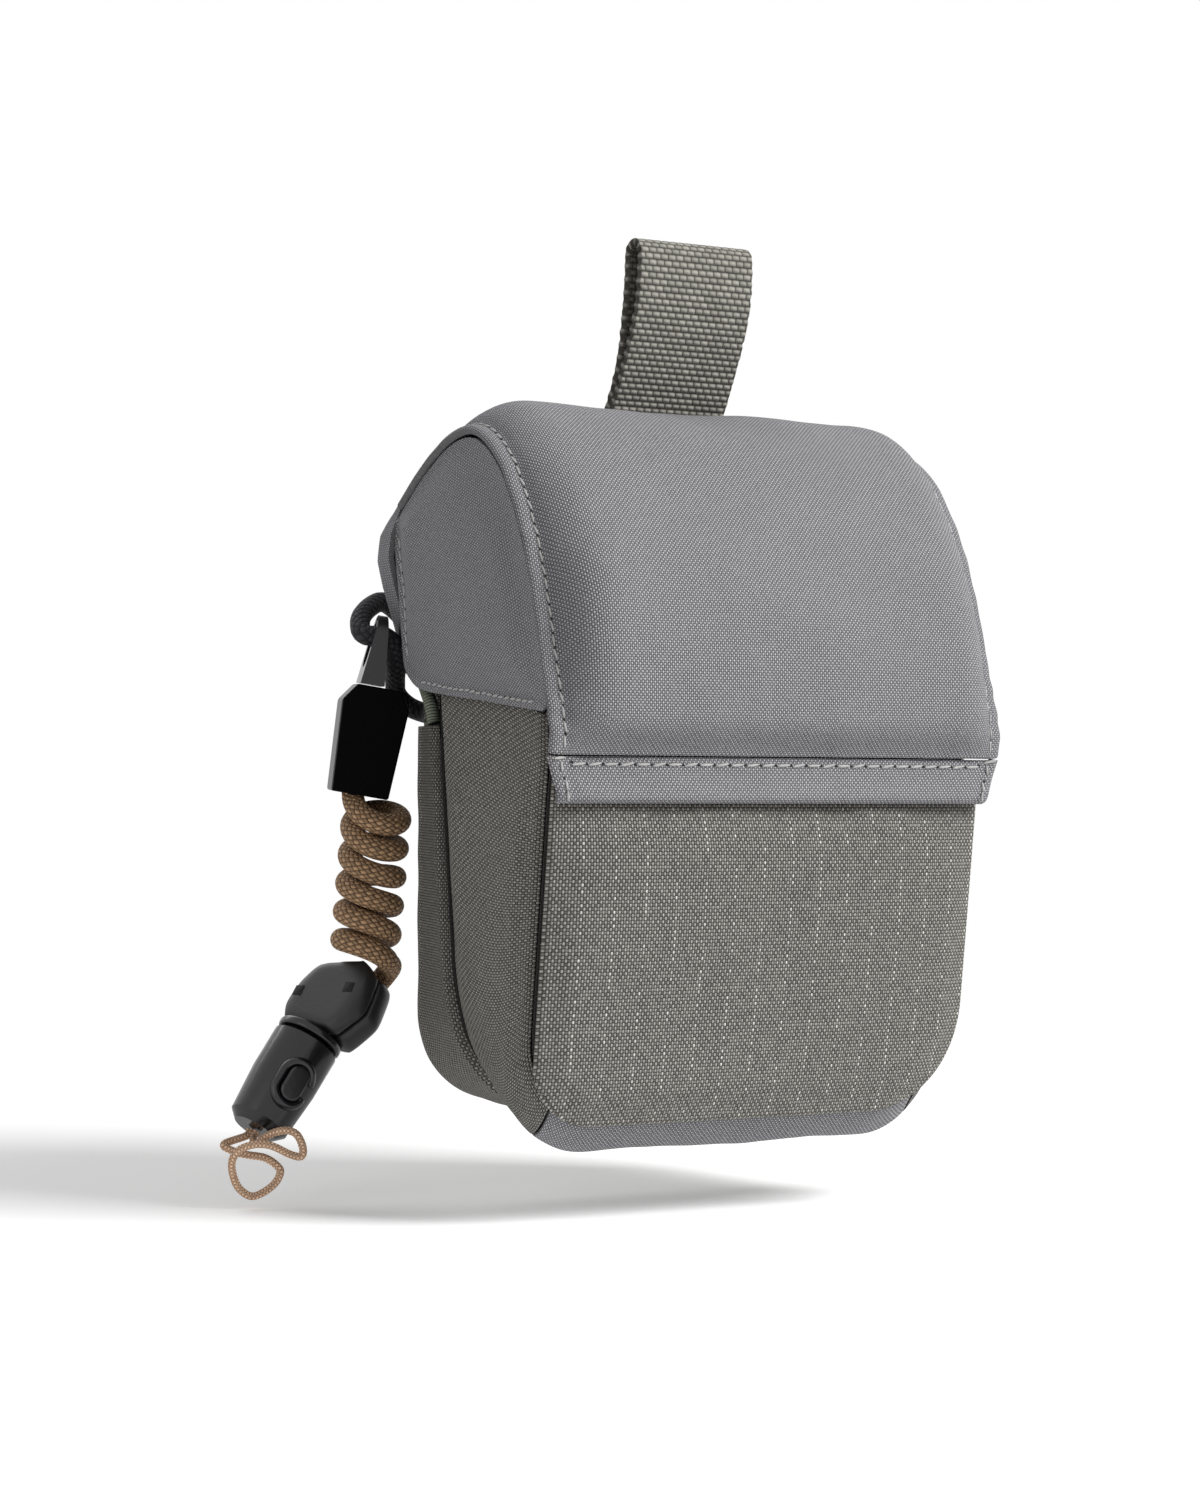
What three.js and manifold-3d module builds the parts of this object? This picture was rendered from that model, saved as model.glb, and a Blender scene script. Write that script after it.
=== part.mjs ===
// A padded belt pouch with a forward-opening lid, a webbing pull tab and a coiled tether that ends
// in a push-button swivel connector. Millimetres, +Z up, +Y towards the wearer.
// The origin is the middle of the belt loop's outer face, which lies against the belt.

import * as THREE from 'three';
import { mergeVertices } from 'three/addons/utils/BufferGeometryUtils.js';
import Module from 'manifold-3d';

const wasm = await Module();
wasm.setup();

// Driving dimensions. Inside this file y = 0 is the front seam at the lid's hinge and z = 0 the
// lowest line of the bottom; the finished group is moved to its origin at the end.

// body
const BODY_HALF_WIDTH = 46.4;
const BACK_FACE_Y = 61;
const HINGE_Z = 72;
const FRONT_LEAN = 10; // how far the front seam leans back at the bottom
const FRONT_CORNER = 16; // radius of the lower corners at the front seam
const REAR_CORNER = 17; // and at the back
const SEAM_LIFT = 5; // height of the front and rear seams above the lowest line
const FRONT_PUFF = 3.6;
const GUSSET_PUFF = 1.0;
const GUSSET_FRONT_TOP = HINGE_Z + 1.5;
const GUSSET_REAR_TOP = HINGE_Z + 23;
const REAR_SIDE_TOP = HINGE_Z + 7;
const RIM_SHARE = 0.94; // share of the side strip's depth that the rim binding covers
const REAR_EDGE_RADIUS = 8;
const REAR_EDGE_WRAP = THREE.MathUtils.degToRad(75); // how far the rear side cloth runs round it
const REAR_SEAM_LOW = { y: 25, z: 7 };
const REAR_SEAM_HIGH = { y: 41, z: 38 };
const REAR_SEAM_LEAN = 0.13; // run back for each millimetre of height above that
const REAR_LIFT = 1.5; // how much higher the back's lower edge lies than its seam
const BACK_TOP = HINGE_Z + 29;

// cloth, foam and gaps
const CLOTH = 1.4;
const LINING = 0.6;
const FRONT_FOAM = 3;
const SIDE_FOAM = 2.5;
const BACK_FOAM = 4;
const STIFFENER = 1.5;
const GAP = 0.3;
const PIPING_RADIUS = 0.9;
const BINDING_RADIUS = 1.6;
const BACK_BINDING_HEIGHT = 2.2;
const HEM_DROP = 8.2;
const HEM_THICKNESS = 2;
const HEM_FLARE = 0.8; // how far the hem's lower edge stands off the front
const HEM_TAPER = 0.055; // share of its width that the hem loses down to its lower edge

// lid
const HINGE_Y = -5.5;
const LID_HALF_WIDTH = 49;
const LID_SHELL = 2;
const LID_FOAM = 2.5;
const LID_PUFF = 2;
const LID_MARGIN = 3; // flat stitched edge beside the puffed middle
const LID_PUFF_RISE = 5; // width over which the puff rises beside the margin
// How far the margin lies behind the lid's section, by the share of the way up and over it.
const LID_SET_BACK = [
  [0, 0], [0.03, 0.6], [0.066, 2.4], [0.11, 4.2], [0.15, 5.4], [0.2, 6], [0.26, 6], [0.32, 5.2],
  [0.39, 3.8], [0.46, 2.9], [0.54, 2.3], [1, 2.3],
];
const LID_ROWS = 24;
const WING_THICKNESS = 1.2;
const WING_OUTER = LID_HALF_WIDTH - 0.9;
const WING_INNER = WING_OUTER - WING_THICKNESS;
const FLAP_HALF_WIDTH = 49.8;
const FLAP_OUTER_Y = 70.6;
const FLAP_BOTTOM = HINGE_Z + 16;
const FLAP_PAD_TOP = HINGE_Z + 40;
const FLAP_PAD_INSET = 4.8;
const FLAP_CORNER = 5;
const FLAP_RETURN = 4.2; // how far the flap's sides run forward past their corners
const FLAP_LINING = 0.8;
const MAGNET_RADIUS = 4.2;
const MAGNET_THICKNESS = 2;
const MAGNET_X = 22;
const MAGNET_Z = FLAP_BOTTOM + 5.3;

// webbing and cords on the pouch
const TAB_WIDTH = 25.4;
const TAB_THICKNESS = 1.7;
const TAB_ROOT_Y = 41.2;
const TAB_ROOT_Z = HINGE_Z + 66.7;
const TAB_RISE = 31.3;
const TAB_LEAN = 11.7;
const TAB_BOW = 3.3; // outside radius of the loop at its top
const TAB_LAYER_GAP = 0.5; // between the two layers at the root
const LOOP_WIDTH = 50.8;
const LOOP_THICKNESS = 1.8;
const LOOP_LOW = 26;
const LOOP_HIGH = 88;
const LOOP_END = 7;
const LOOP_RAMP = 8;
const LOOP_CREASE = 0.8; // how much later the band's inner face bends than its outer one
const LOOP_OUTER_Y = 71.2;
const SHOCK_CORD_RADIUS = 1.35;
const ANCHOR_CORD_RADIUS = 2;
const ANCHOR_TAB = { x0: -40.5, x1: -28, depth: 4, z0: 76, z1: 87 };

// tether, in its own frame: +X across the photograph's view, +Y away from it, origin in the eye
const TETHER_TURN = THREE.MathUtils.degToRad(-28.5);
const EYE = new THREE.Vector3(-51.5, 64.5, 97);
const CLIP_TILT = THREE.MathUtils.degToRad(10);
const CLIP_TURN = THREE.MathUtils.degToRad(11);
const STEM_LOW = { left: -1.4, right: 3.4 }; // the stem's sides at its foot
const STEM_HIGH = { left: 0.2, right: 2 }; // and at the top of its eye
const STEM_HALF_DEPTH = 4.2;
const STEM_HOLE = 2.8;
const STEM_SLOT = 3.6;
const STEM_LENGTH = 9.6;
const CLIP_TOP_WIDTH = 13.4;
const CLIP_BOTTOM_WIDTH = 11.4;
const CLIP_DEPTH = 9;
const CLIP_LENGTH = 21.5;
const CLIP_SHOULDER = 2.5;
const CLIP_WALL = 1.3;
const CLIP_CAVITY = 12;
const CLIP_SHIFT = 2.3; // how far the cover's middle lies beside the eye
const KNOT_SHIFT = 1.2; // and the knot
const KNOT_RADIUS = 2.9;

// curly cord
const COIL_CORD_RADIUS = 2.1;
const COIL_RADIUS = 4.7;
const COIL_PITCH = 5.6;
const COIL_TURNS = 5.5;
const COIL_SLANT = 0.9; // how far a turn's right side hangs below its left side, halved
const COIL_TIP = 2.9; // how far the first turn's front hangs below its axis
const COIL_TIP_FALL = 0.75; // how much less it hangs with each turn
const COIL_TOP = new THREE.Vector3(0.8, 0, -32.6);
const COIL_DRIFT = -2.6; // sideways run of the coil's axis from its top to its bottom
const CURL_STEPS = 8;
const CURL_SIDES = 5;

// connector: its own +Z runs up its axis from the swivel's lower face; outlines are x and z there
const CONNECTOR = new THREE.Vector3(-12.4, -5, -79.3);
const CONNECTOR_TILT = THREE.MathUtils.degToRad(30);
const CONNECTOR_LEAN = THREE.MathUtils.degToRad(-24);
const CONNECTOR_TURN = THREE.MathUtils.degToRad(-40);
const FACE_OUTLINE = [
  [-6.3, 0], [-7.7, 5.5], [-7.1, 10.5], [-5.1, 15.6], [5, 18.8], [8, 13.6], [7.9, 6.5], [6.3, 0],
];
const SIDE_OUTLINE = [
  [-6.5, 0], [-9, 5], [-9.2, 11], [-7, 15.4], [4.6, 18.2], [9, 16.4], [10.6, 8.5], [7, 0],
];
const FACE_DEPTH = -3.6;
const SIDE_DEPTH = 4.2;
const REAR_DEPTH = 6.6;
const REAR_SHRINK = 0.82;
const COLLAR_RADIUS = 6.7;
const COLLAR_LENGTH = 1.7;
const POST_RADIUS = 3;
const POST_LENGTH = 11;
const STUB_RADIUS = 1.9;
const STUB_LENGTH = 7;
const SOCKET = new THREE.Vector3(3.9, 3.7, 10.3); // where the coiled cord ends in the rear shell
const BARREL_LENGTH = 20.2;
const BARREL_END_RADIUS = 6;
const BARREL_BORE_FIT = 0.4;
const BUTTON_LENGTH = 7.4;
const BUTTON_WIDTH = 4.4;
const BUTTON_PLACE = 10.3; // from the barrel's upper face to the button's middle
const BUTTON_TURN = THREE.MathUtils.degToRad(61);
const BUTTON_TRAVEL = 1.5;
const BUTTON_PROUD = 0.7;
const LANYARD_RADIUS = 0.75;

// finishes
const material = (color, roughness, metalness = 0) =>
  new THREE.MeshStandardMaterial({ color, roughness, metalness });
const softshell = 0x807e80;
const cordura = 0x6e6b62;
const darkCloth = 0x34332f;
const foam = 0x4a4a4a;
const blackPlastic = 0x1b1c1f;
const tan = 0x8f6d4d;

const pouch = new THREE.Group();
const tether = new THREE.Group();
tether.position.copy(EYE);
tether.rotation.z = TETHER_TURN;
pouch.add(tether);
const connector = new THREE.Group();
connector.position.copy(CONNECTOR);
connector.rotation.set(CONNECTOR_LEAN, CONNECTOR_TILT, CONNECTOR_TURN, 'YXZ');
tether.add(connector);

function add(name, geometry, color, roughness = 0.9, metalness = 0, parent = pouch) {
  const mesh = new THREE.Mesh(geometry, material(color, roughness, metalness));
  mesh.name = name;
  parent.add(mesh);
  return mesh;
}

const lerp = THREE.MathUtils.lerp;
const clamp01 = (t) => THREE.MathUtils.clamp(t, 0, 1);
const smooth = (t, low, high) => THREE.MathUtils.smoothstep(t, low, high);

// Shapes

function signedVolume(positions, index) {
  const a = new THREE.Vector3();
  const b = new THREE.Vector3();
  const c = new THREE.Vector3();
  let total = 0;
  for (let i = 0; i < index.length; i += 3) {
    a.fromArray(positions, index[i] * 3);
    b.fromArray(positions, index[i + 1] * 3);
    c.fromArray(positions, index[i + 2] * 3);
    total += a.dot(b.cross(c));
  }
  return total;
}

function closedGeometry(positions, index) {
  if (signedVolume(positions, index) < 0) index.reverse();
  const geometry = new THREE.BufferGeometry();
  geometry.setAttribute('position', new THREE.Float32BufferAttribute(positions, 3));
  geometry.setIndex(index);
  geometry.computeVertexNormals();
  return geometry;
}

// A sheet with a thickness: two grids of points, one for each face, closed round the rim.
function sheet(columns, rows, outer, inner) {
  const positions = [];
  const index = [];
  for (const face of [outer, inner]) {
    for (let i = 0; i <= columns; i++) {
      for (let j = 0; j <= rows; j++) positions.push(...face(i / columns, j / rows).toArray());
    }
  }
  const count = (columns + 1) * (rows + 1);
  const at = (side, i, j) => side * count + i * (rows + 1) + j;
  const quad = (a, b, c, d) => index.push(a, b, c, a, c, d);
  for (let i = 0; i < columns; i++) {
    for (let j = 0; j < rows; j++) {
      quad(at(0, i, j), at(0, i + 1, j), at(0, i + 1, j + 1), at(0, i, j + 1));
      quad(at(1, i, j), at(1, i, j + 1), at(1, i + 1, j + 1), at(1, i + 1, j));
    }
    quad(at(1, i, 0), at(1, i + 1, 0), at(0, i + 1, 0), at(0, i, 0));
    quad(at(0, i, rows), at(0, i + 1, rows), at(1, i + 1, rows), at(1, i, rows));
  }
  for (let j = 0; j < rows; j++) {
    quad(at(0, 0, j), at(0, 0, j + 1), at(1, 0, j + 1), at(1, 0, j));
    quad(at(1, columns, j), at(1, columns, j + 1), at(0, columns, j + 1), at(0, columns, j));
  }
  return closedGeometry(positions, index);
}

// A tube of any number of sides through a list of points, with flat ends.
function tubeThrough(points, radius, sides) {
  const positions = [];
  const index = [];
  const tangents = points.map((_, i) => {
    const before = points[Math.max(i - 1, 0)];
    const after = points[Math.min(i + 1, points.length - 1)];
    return after.clone().sub(before).normalize();
  });
  const side = new THREE.Vector3(1, 0, 0);
  if (Math.abs(tangents[0].x) > 0.9) side.set(0, 1, 0);
  points.forEach((p, i) => {
    side.addScaledVector(tangents[i], -side.dot(tangents[i])).normalize();
    const up = tangents[i].clone().cross(side);
    for (let k = 0; k < sides; k++) {
      const turn = (k / sides) * 2 * Math.PI;
      const rim = p.clone();
      rim.addScaledVector(side, radius * Math.cos(turn));
      rim.addScaledVector(up, radius * Math.sin(turn));
      positions.push(...rim.toArray());
    }
  });
  for (let i = 0; i + 1 < points.length; i++) {
    for (let k = 0; k < sides; k++) {
      const next = (k + 1) % sides;
      const a = i * sides + k;
      const b = i * sides + next;
      index.push(a, b, b + sides, a, b + sides, a + sides);
    }
  }
  const last = (points.length - 1) * sides;
  for (let k = 1; k + 1 < sides; k++) {
    index.push(0, k + 1, k);
    index.push(last, last + k, last + k + 1);
  }
  return closedGeometry(positions, index);
}

function curveTube(points, radius, sides, steps) {
  const section = new THREE.Shape();
  for (let k = 0; k < sides; k++) {
    const turn = (k / sides) * 2 * Math.PI;
    const method = k === 0 ? 'moveTo' : 'lineTo';
    section[method](radius * Math.cos(turn), radius * Math.sin(turn));
  }
  const path = new THREE.CatmullRomCurve3(points, false, 'centripetal');
  return new THREE.ExtrudeGeometry(section, { steps, extrudePath: path });
}

// An outline drawn in y and z, from x0 to x1.
function plateAcross(outline, x0, x1) {
  const geometry = new THREE.ExtrudeGeometry(outline, {
    depth: x1 - x0, bevelEnabled: false, curveSegments: 8,
  });
  const across = new THREE.Matrix4().makeBasis(
    new THREE.Vector3(0, 1, 0), new THREE.Vector3(0, 0, 1), new THREE.Vector3(1, 0, 0));
  return geometry.applyMatrix4(across).translate(x0, 0, 0);
}

// An outline drawn in x and z, from y0 back to y1.
function plateUpright(outline, y0, y1) {
  const geometry = new THREE.ExtrudeGeometry(outline, {
    depth: y1 - y0, bevelEnabled: false, curveSegments: 8,
  });
  return geometry.rotateX(Math.PI / 2).translate(0, y1, 0);
}

function outlineOf(points) {
  return new THREE.Shape(points.map(([a, b]) => new THREE.Vector2(a, b)));
}

function block(x0, x1, y0, y1, z0, z1) {
  const geometry = new THREE.BoxGeometry(x1 - x0, y1 - y0, z1 - z0);
  return geometry.translate((x0 + x1) / 2, (y0 + y1) / 2, (z0 + z1) / 2);
}

function solidOf(geometry) {
  const bare = geometry.clone();
  bare.deleteAttribute('normal');
  if (bare.getAttribute('uv')) bare.deleteAttribute('uv');
  const merged = mergeVertices(bare, 1e-4);
  return new wasm.Manifold(new wasm.Mesh({
    numProp: 3,
    vertProperties: new Float32Array(merged.getAttribute('position').array),
    triVerts: new Uint32Array(merged.index.array),
  }));
}

function cut(geometry, ...tools) {
  let solid = solidOf(geometry);
  for (const tool of tools) solid = solid.subtract(solidOf(tool));
  const mesh = solid.getMesh();
  return closedGeometry(Array.from(mesh.vertProperties), Array.from(mesh.triVerts));
}

// Body

// The front seam leans back evenly from the hinge line down.
const frontSeamY = (z) => FRONT_LEAN * clamp01(1 - z / HINGE_Z);

// The rear seam sweeps forward towards the bottom, which narrows the side strip there.
function rearSeamY(z) {
  const up = (z - REAR_SEAM_LOW.z) / (REAR_SEAM_HIGH.z - REAR_SEAM_LOW.z);
  const sweep = Math.sin((Math.PI / 2) * clamp01(up));
  const lean = REAR_SEAM_LEAN * Math.max(0, z - REAR_SEAM_HIGH.z);
  return lerp(REAR_SEAM_LOW.y, REAR_SEAM_HIGH.y, sweep) + lean;
}

// Half width of an upright panel with round lower corners.
function halfWidthAt(z, half, bottom, radius) {
  const into = radius - Math.min(radius, Math.max(0, z - bottom));
  return half - radius + Math.sqrt(radius * radius - into * into);
}

// The U of the side wall, from the left top down, along the bottom and up to the right top.
const SIDE_SHARE = 0.2;
const CORNER_SHARE = 0.4;
function wallPoint(q, inset, top, bottom, corner) {
  if (q > 0.5) {
    const mirrored = wallPoint(1 - q, inset, top, bottom, corner);
    return { x: -mirrored.x, z: mirrored.z };
  }
  const half = BODY_HALF_WIDTH - inset;
  const radius = corner - inset;
  const low = bottom + inset;
  if (q <= SIDE_SHARE) return { x: -half, z: lerp(top, low + radius, q / SIDE_SHARE) };
  if (q <= CORNER_SHARE) {
    const turn = ((q - SIDE_SHARE) / (CORNER_SHARE - SIDE_SHARE)) * (Math.PI / 2);
    return { x: -half + radius - radius * Math.cos(turn), z: low + radius - radius * Math.sin(turn) };
  }
  return { x: lerp(-half + radius, 0, (q - CORNER_SHARE) / (0.5 - CORNER_SHARE)), z: low };
}

const SEAM_HALF_GAP = PIPING_RADIUS + GAP;
const bottomAt = (v) => SEAM_LIFT * (1 - Math.sin(Math.PI * clamp01(v)) ** 0.6);
const cornerAt = (v) => lerp(FRONT_CORNER, REAR_CORNER, clamp01(v));
const gussetTop = (v) => lerp(GUSSET_FRONT_TOP, GUSSET_REAR_TOP, clamp01(v) ** 0.8);

// One layer of the side wall between the seams: q0 to q1 along the U, from inset to inset + thick.
function sideLayer(q0, q1, columns, rows, inset, thick, topDrop = 0) {
  const face = (depth) => (u, v) => {
    const top = gussetTop(v) - topDrop;
    const p = wallPoint(lerp(q0, q1, u), depth, top, bottomAt(v), cornerAt(v));
    const y = lerp(frontSeamY(p.z) + SEAM_HALF_GAP, rearSeamY(p.z) - SEAM_HALF_GAP, v);
    const low = 1 - smooth(p.z, HINGE_Z - 12, HINGE_Z + 2);
    const puff = GUSSET_PUFF * low * Math.sin(Math.PI * v) * (depth === 0 ? 1 : 0);
    const out = p.x === 0 ? 0 : Math.sign(p.x) * puff * smooth(Math.abs(p.x), 10, 40);
    return new THREE.Vector3(p.x + out, y, p.z);
  };
  return sheet(columns, rows, face(inset), face(inset + thick));
}

// An upright panel with round lower corners; outerY and innerY give its faces. Its rows lie closer
// together at the round corners.
function uprightPanel(half, bottom, top, radius, columns, rows, outerY, innerY) {
  const crowding = 1.7;
  const face = (depthAt) => (u, v) => {
    const z = lerp(bottom, top, v ** crowding);
    const x = (2 * u - 1) * halfWidthAt(z, half, bottom, radius);
    return new THREE.Vector3(x, depthAt(x, z), z);
  };
  return sheet(columns, rows, face(outerY), face(innerY));
}

const PANEL_TOP = HINGE_Z - 0.7;
const frontInner = (x, z) => frontSeamY(z) - SEAM_HALF_GAP;

// The front's outer face puffs out, less below the hem.
function frontOuter(x, z) {
  const across = Math.max(0, 1 - (x / BODY_HALF_WIDTH) ** 4);
  const up = Math.sin(Math.PI * clamp01(0.12 + 0.88 * (z - SEAM_LIFT) / (HINGE_Z + 12))) ** 0.7;
  const nearHem = 1 - 0.75 * smooth(z, HINGE_Z - 18, HINGE_Z - 4);
  return frontInner(x, z) - CLOTH - FRONT_PUFF * across * up * nearHem;
}

// The faces of the back's layers, from its cloth forward.
const BACK_CLOTH_Y = BACK_FACE_Y - CLOTH;
const BACK_FOAM_Y = BACK_CLOTH_Y - GAP - BACK_FOAM;
const STIFFENER_Y = BACK_FOAM_Y - GAP - STIFFENER;
const BACK_LINING_Y = STIFFENER_Y - GAP - LINING;
const LAYER_TOP = BACK_TOP - BACK_BINDING_HEIGHT - GAP;
const BACK_INSET = REAR_EDGE_RADIUS * (1 - Math.cos(REAR_EDGE_WRAP)) + 0.4;

function frontLayer(inset, cells, outerY, innerY) {
  return uprightPanel(BODY_HALF_WIDTH - inset, SEAM_LIFT + inset, PANEL_TOP, FRONT_CORNER - inset,
    cells, cells, outerY, innerY);
}

function addFront() {
  add('front_panel', frontLayer(0, 14, frontOuter, frontInner), cordura, 0.85);
  const foamInset = CLOTH + SIDE_FOAM + 3 * GAP;
  const foamOuter = (x, z) => frontInner(x, z) + GAP;
  const foamInner = (x, z) => foamOuter(x, z) + FRONT_FOAM;
  add('front_foam', frontLayer(foamInset, 8, foamOuter, foamInner), foam, 0.95);
  const liningOuter = (x, z) => foamInner(x, z) + GAP;
  const liningInner = (x, z) => liningOuter(x, z) + LINING;
  add('front_lining', frontLayer(foamInset + LINING + GAP, 8, liningOuter, liningInner), darkCloth, 0.9);
}

function addSides() {
  const joinAt = 0.315; // share of the U where a gusset meets the bottom strip
  const halfJoin = 0.002;
  add('gusset_left', sideLayer(0, joinAt - halfJoin, 16, 8, 0, CLOTH), cordura, 0.85);
  add('bottom_panel', sideLayer(joinAt + halfJoin, 1 - joinAt - halfJoin, 16, 8, 0, CLOTH),
    softshell, 0.8);
  add('gusset_right', sideLayer(1 - joinAt + halfJoin, 1, 16, 8, 0, CLOTH), cordura, 0.85);
  const innerDrop = 1.5;
  add('side_foam', sideLayer(0, 1, 30, 3, CLOTH + GAP, SIDE_FOAM, innerDrop), foam, 0.95);

  // The lining inside the side wall runs on to the back, below the rim.
  const liningDepth = CLOTH + SIDE_FOAM + 2 * GAP;
  const liningFace = (inset) => (u, v) => {
    const p = wallPoint(u, inset, GUSSET_FRONT_TOP - innerDrop, SEAM_LIFT, REAR_CORNER);
    const front = frontInner(p.x, p.z) + FRONT_FOAM + 3 * GAP + LINING;
    return new THREE.Vector3(p.x, lerp(front, BACK_LINING_Y - GAP, v), p.z);
  };
  add('side_lining', sheet(30, 2, liningFace(liningDepth), liningFace(liningDepth + LINING)),
    darkCloth, 0.9);

  // The rear side panel wraps from the rear seam round the back edge.
  const wrapFace = (depth) => (u, v) => {
    const turn = clamp01(2 * v - 1) * REAR_EDGE_WRAP;
    const reach = REAR_EDGE_RADIUS - depth;
    const inset = REAR_EDGE_RADIUS - reach * Math.cos(turn);
    const p = wallPoint(u, inset, REAR_SIDE_TOP, SEAM_LIFT + REAR_LIFT * v, REAR_CORNER);
    const straightEnd = BACK_FACE_Y - REAR_EDGE_RADIUS;
    const flat = lerp(rearSeamY(p.z) + SEAM_HALF_GAP, straightEnd, clamp01(2 * v));
    return new THREE.Vector3(p.x, flat + reach * Math.sin(turn), p.z);
  };
  add('rear_side_panel', sheet(34, 8, wrapFace(0), wrapFace(CLOTH)), cordura, 0.85);
}

// A disc that stands upright, for a magnet or for the pocket around one.
function disc(radius, thickness, x, y) {
  return new THREE.CylinderGeometry(radius, radius, thickness, 20).translate(x, y, MAGNET_Z);
}

// Back: cloth, foam with two pockets for magnets, a stiffener and the lining, bound along the top.
function addBack() {
  const backLayer = (y, thick, extra = 0.5) => {
    const inset = BACK_INSET + extra;
    return uprightPanel(BODY_HALF_WIDTH - inset, SEAM_LIFT + REAR_LIFT + inset, LAYER_TOP,
      REAR_CORNER - inset, 4, 8, () => y + thick, () => y);
  };
  add('back_panel', backLayer(BACK_CLOTH_Y, CLOTH, 0), cordura, 0.85);
  const pockets = [-MAGNET_X, MAGNET_X].map((x) =>
    disc(MAGNET_RADIUS + GAP, BACK_FOAM * 2, x, BACK_FOAM_Y + BACK_FOAM / 2));
  add('back_foam', cut(backLayer(BACK_FOAM_Y, BACK_FOAM), ...pockets), foam, 0.95);
  add('back_stiffener', backLayer(STIFFENER_Y, STIFFENER), blackPlastic, 0.6);
  add('back_lining', backLayer(BACK_LINING_Y, LINING), darkCloth, 0.9);
  for (const [side, x] of [['left', -MAGNET_X], ['right', MAGNET_X]]) {
    const y = BACK_CLOTH_Y - GAP - MAGNET_THICKNESS / 2;
    add(`body_magnet_${side}`, disc(MAGNET_RADIUS, MAGNET_THICKNESS, x, y), 0xb9bcc0, 0.3, 1);
  }
  const half = BODY_HALF_WIDTH - BACK_INSET;
  const chamfer = { x: 3, z: 1 };
  add('back_binding', plateUpright(outlineOf([
    [-half, LAYER_TOP + GAP], [half, LAYER_TOP + GAP],
    [half, BACK_TOP - chamfer.z], [half - chamfer.x, BACK_TOP],
    [-half + chamfer.x, BACK_TOP], [-half, BACK_TOP - chamfer.z],
  ]), BACK_LINING_Y, BACK_FACE_Y), darkCloth, 0.9);
}

// Piping in the two seams, and the bound rims of the side panels.
function addTrim() {
  const seamPath = (seamY, top, corner) => {
    const points = [];
    for (let i = 0; i <= 30; i++) {
      const p = wallPoint(i / 30, PIPING_RADIUS + GAP, top, SEAM_LIFT, corner);
      points.push(new THREE.Vector3(p.x, seamY(p.z), p.z));
    }
    return points;
  };
  add('front_piping', tubeThrough(seamPath(frontSeamY, PANEL_TOP, FRONT_CORNER), PIPING_RADIUS, 6),
    darkCloth, 0.9);
  add('rear_piping', tubeThrough(seamPath(rearSeamY, REAR_SIDE_TOP - 1, REAR_CORNER), PIPING_RADIUS, 6),
    darkCloth, 0.9);
  for (const [side, sign] of [['left', -1], ['right', 1]]) {
    const points = [];
    for (let i = 0; i <= 10; i++) {
      const v = 0.5 + RIM_SHARE * (i / 10 - 0.5);
      const top = gussetTop(v);
      const y = lerp(frontSeamY(top) + SEAM_HALF_GAP, rearSeamY(top) - SEAM_HALF_GAP, v);
      points.push(new THREE.Vector3(sign * (BODY_HALF_WIDTH - BINDING_RADIUS - 0.1), y,
        top + BINDING_RADIUS + GAP));
    }
    add(`rim_binding_${side}`, tubeThrough(points, BINDING_RADIUS, 8), darkCloth, 0.9);
  }
}

// The hem below the lid's hinge stitching stays on the body.
function addHem() {
  const innerAt = (x, z) => {
    const onPanel = frontOuter(x * BODY_HALF_WIDTH / LID_HALF_WIDTH, Math.min(z, PANEL_TOP)) - GAP;
    const flare = HEM_FLARE * smooth(HINGE_Z - z, 2, HEM_DROP);
    const besideHinge = HINGE_Y + HEM_THICKNESS - 1.6;
    return Math.min(Math.max(onPanel - flare, besideHinge), frontInner(x, z) - CLOTH - GAP);
  };
  const hemFace = (thick) => (u, v) => {
    const z = lerp(HINGE_Z - HEM_DROP, HINGE_Z - GAP, v);
    const x = acrossLid(u) * (1 - HEM_TAPER * (1 - v));
    return new THREE.Vector3(x, innerAt(x, z) - thick, z);
  };
  add('lid_hem', sheet(LID_COLUMNS, 4, hemFace(HEM_THICKNESS), hemFace(0)), softshell, 0.8);
}

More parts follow.
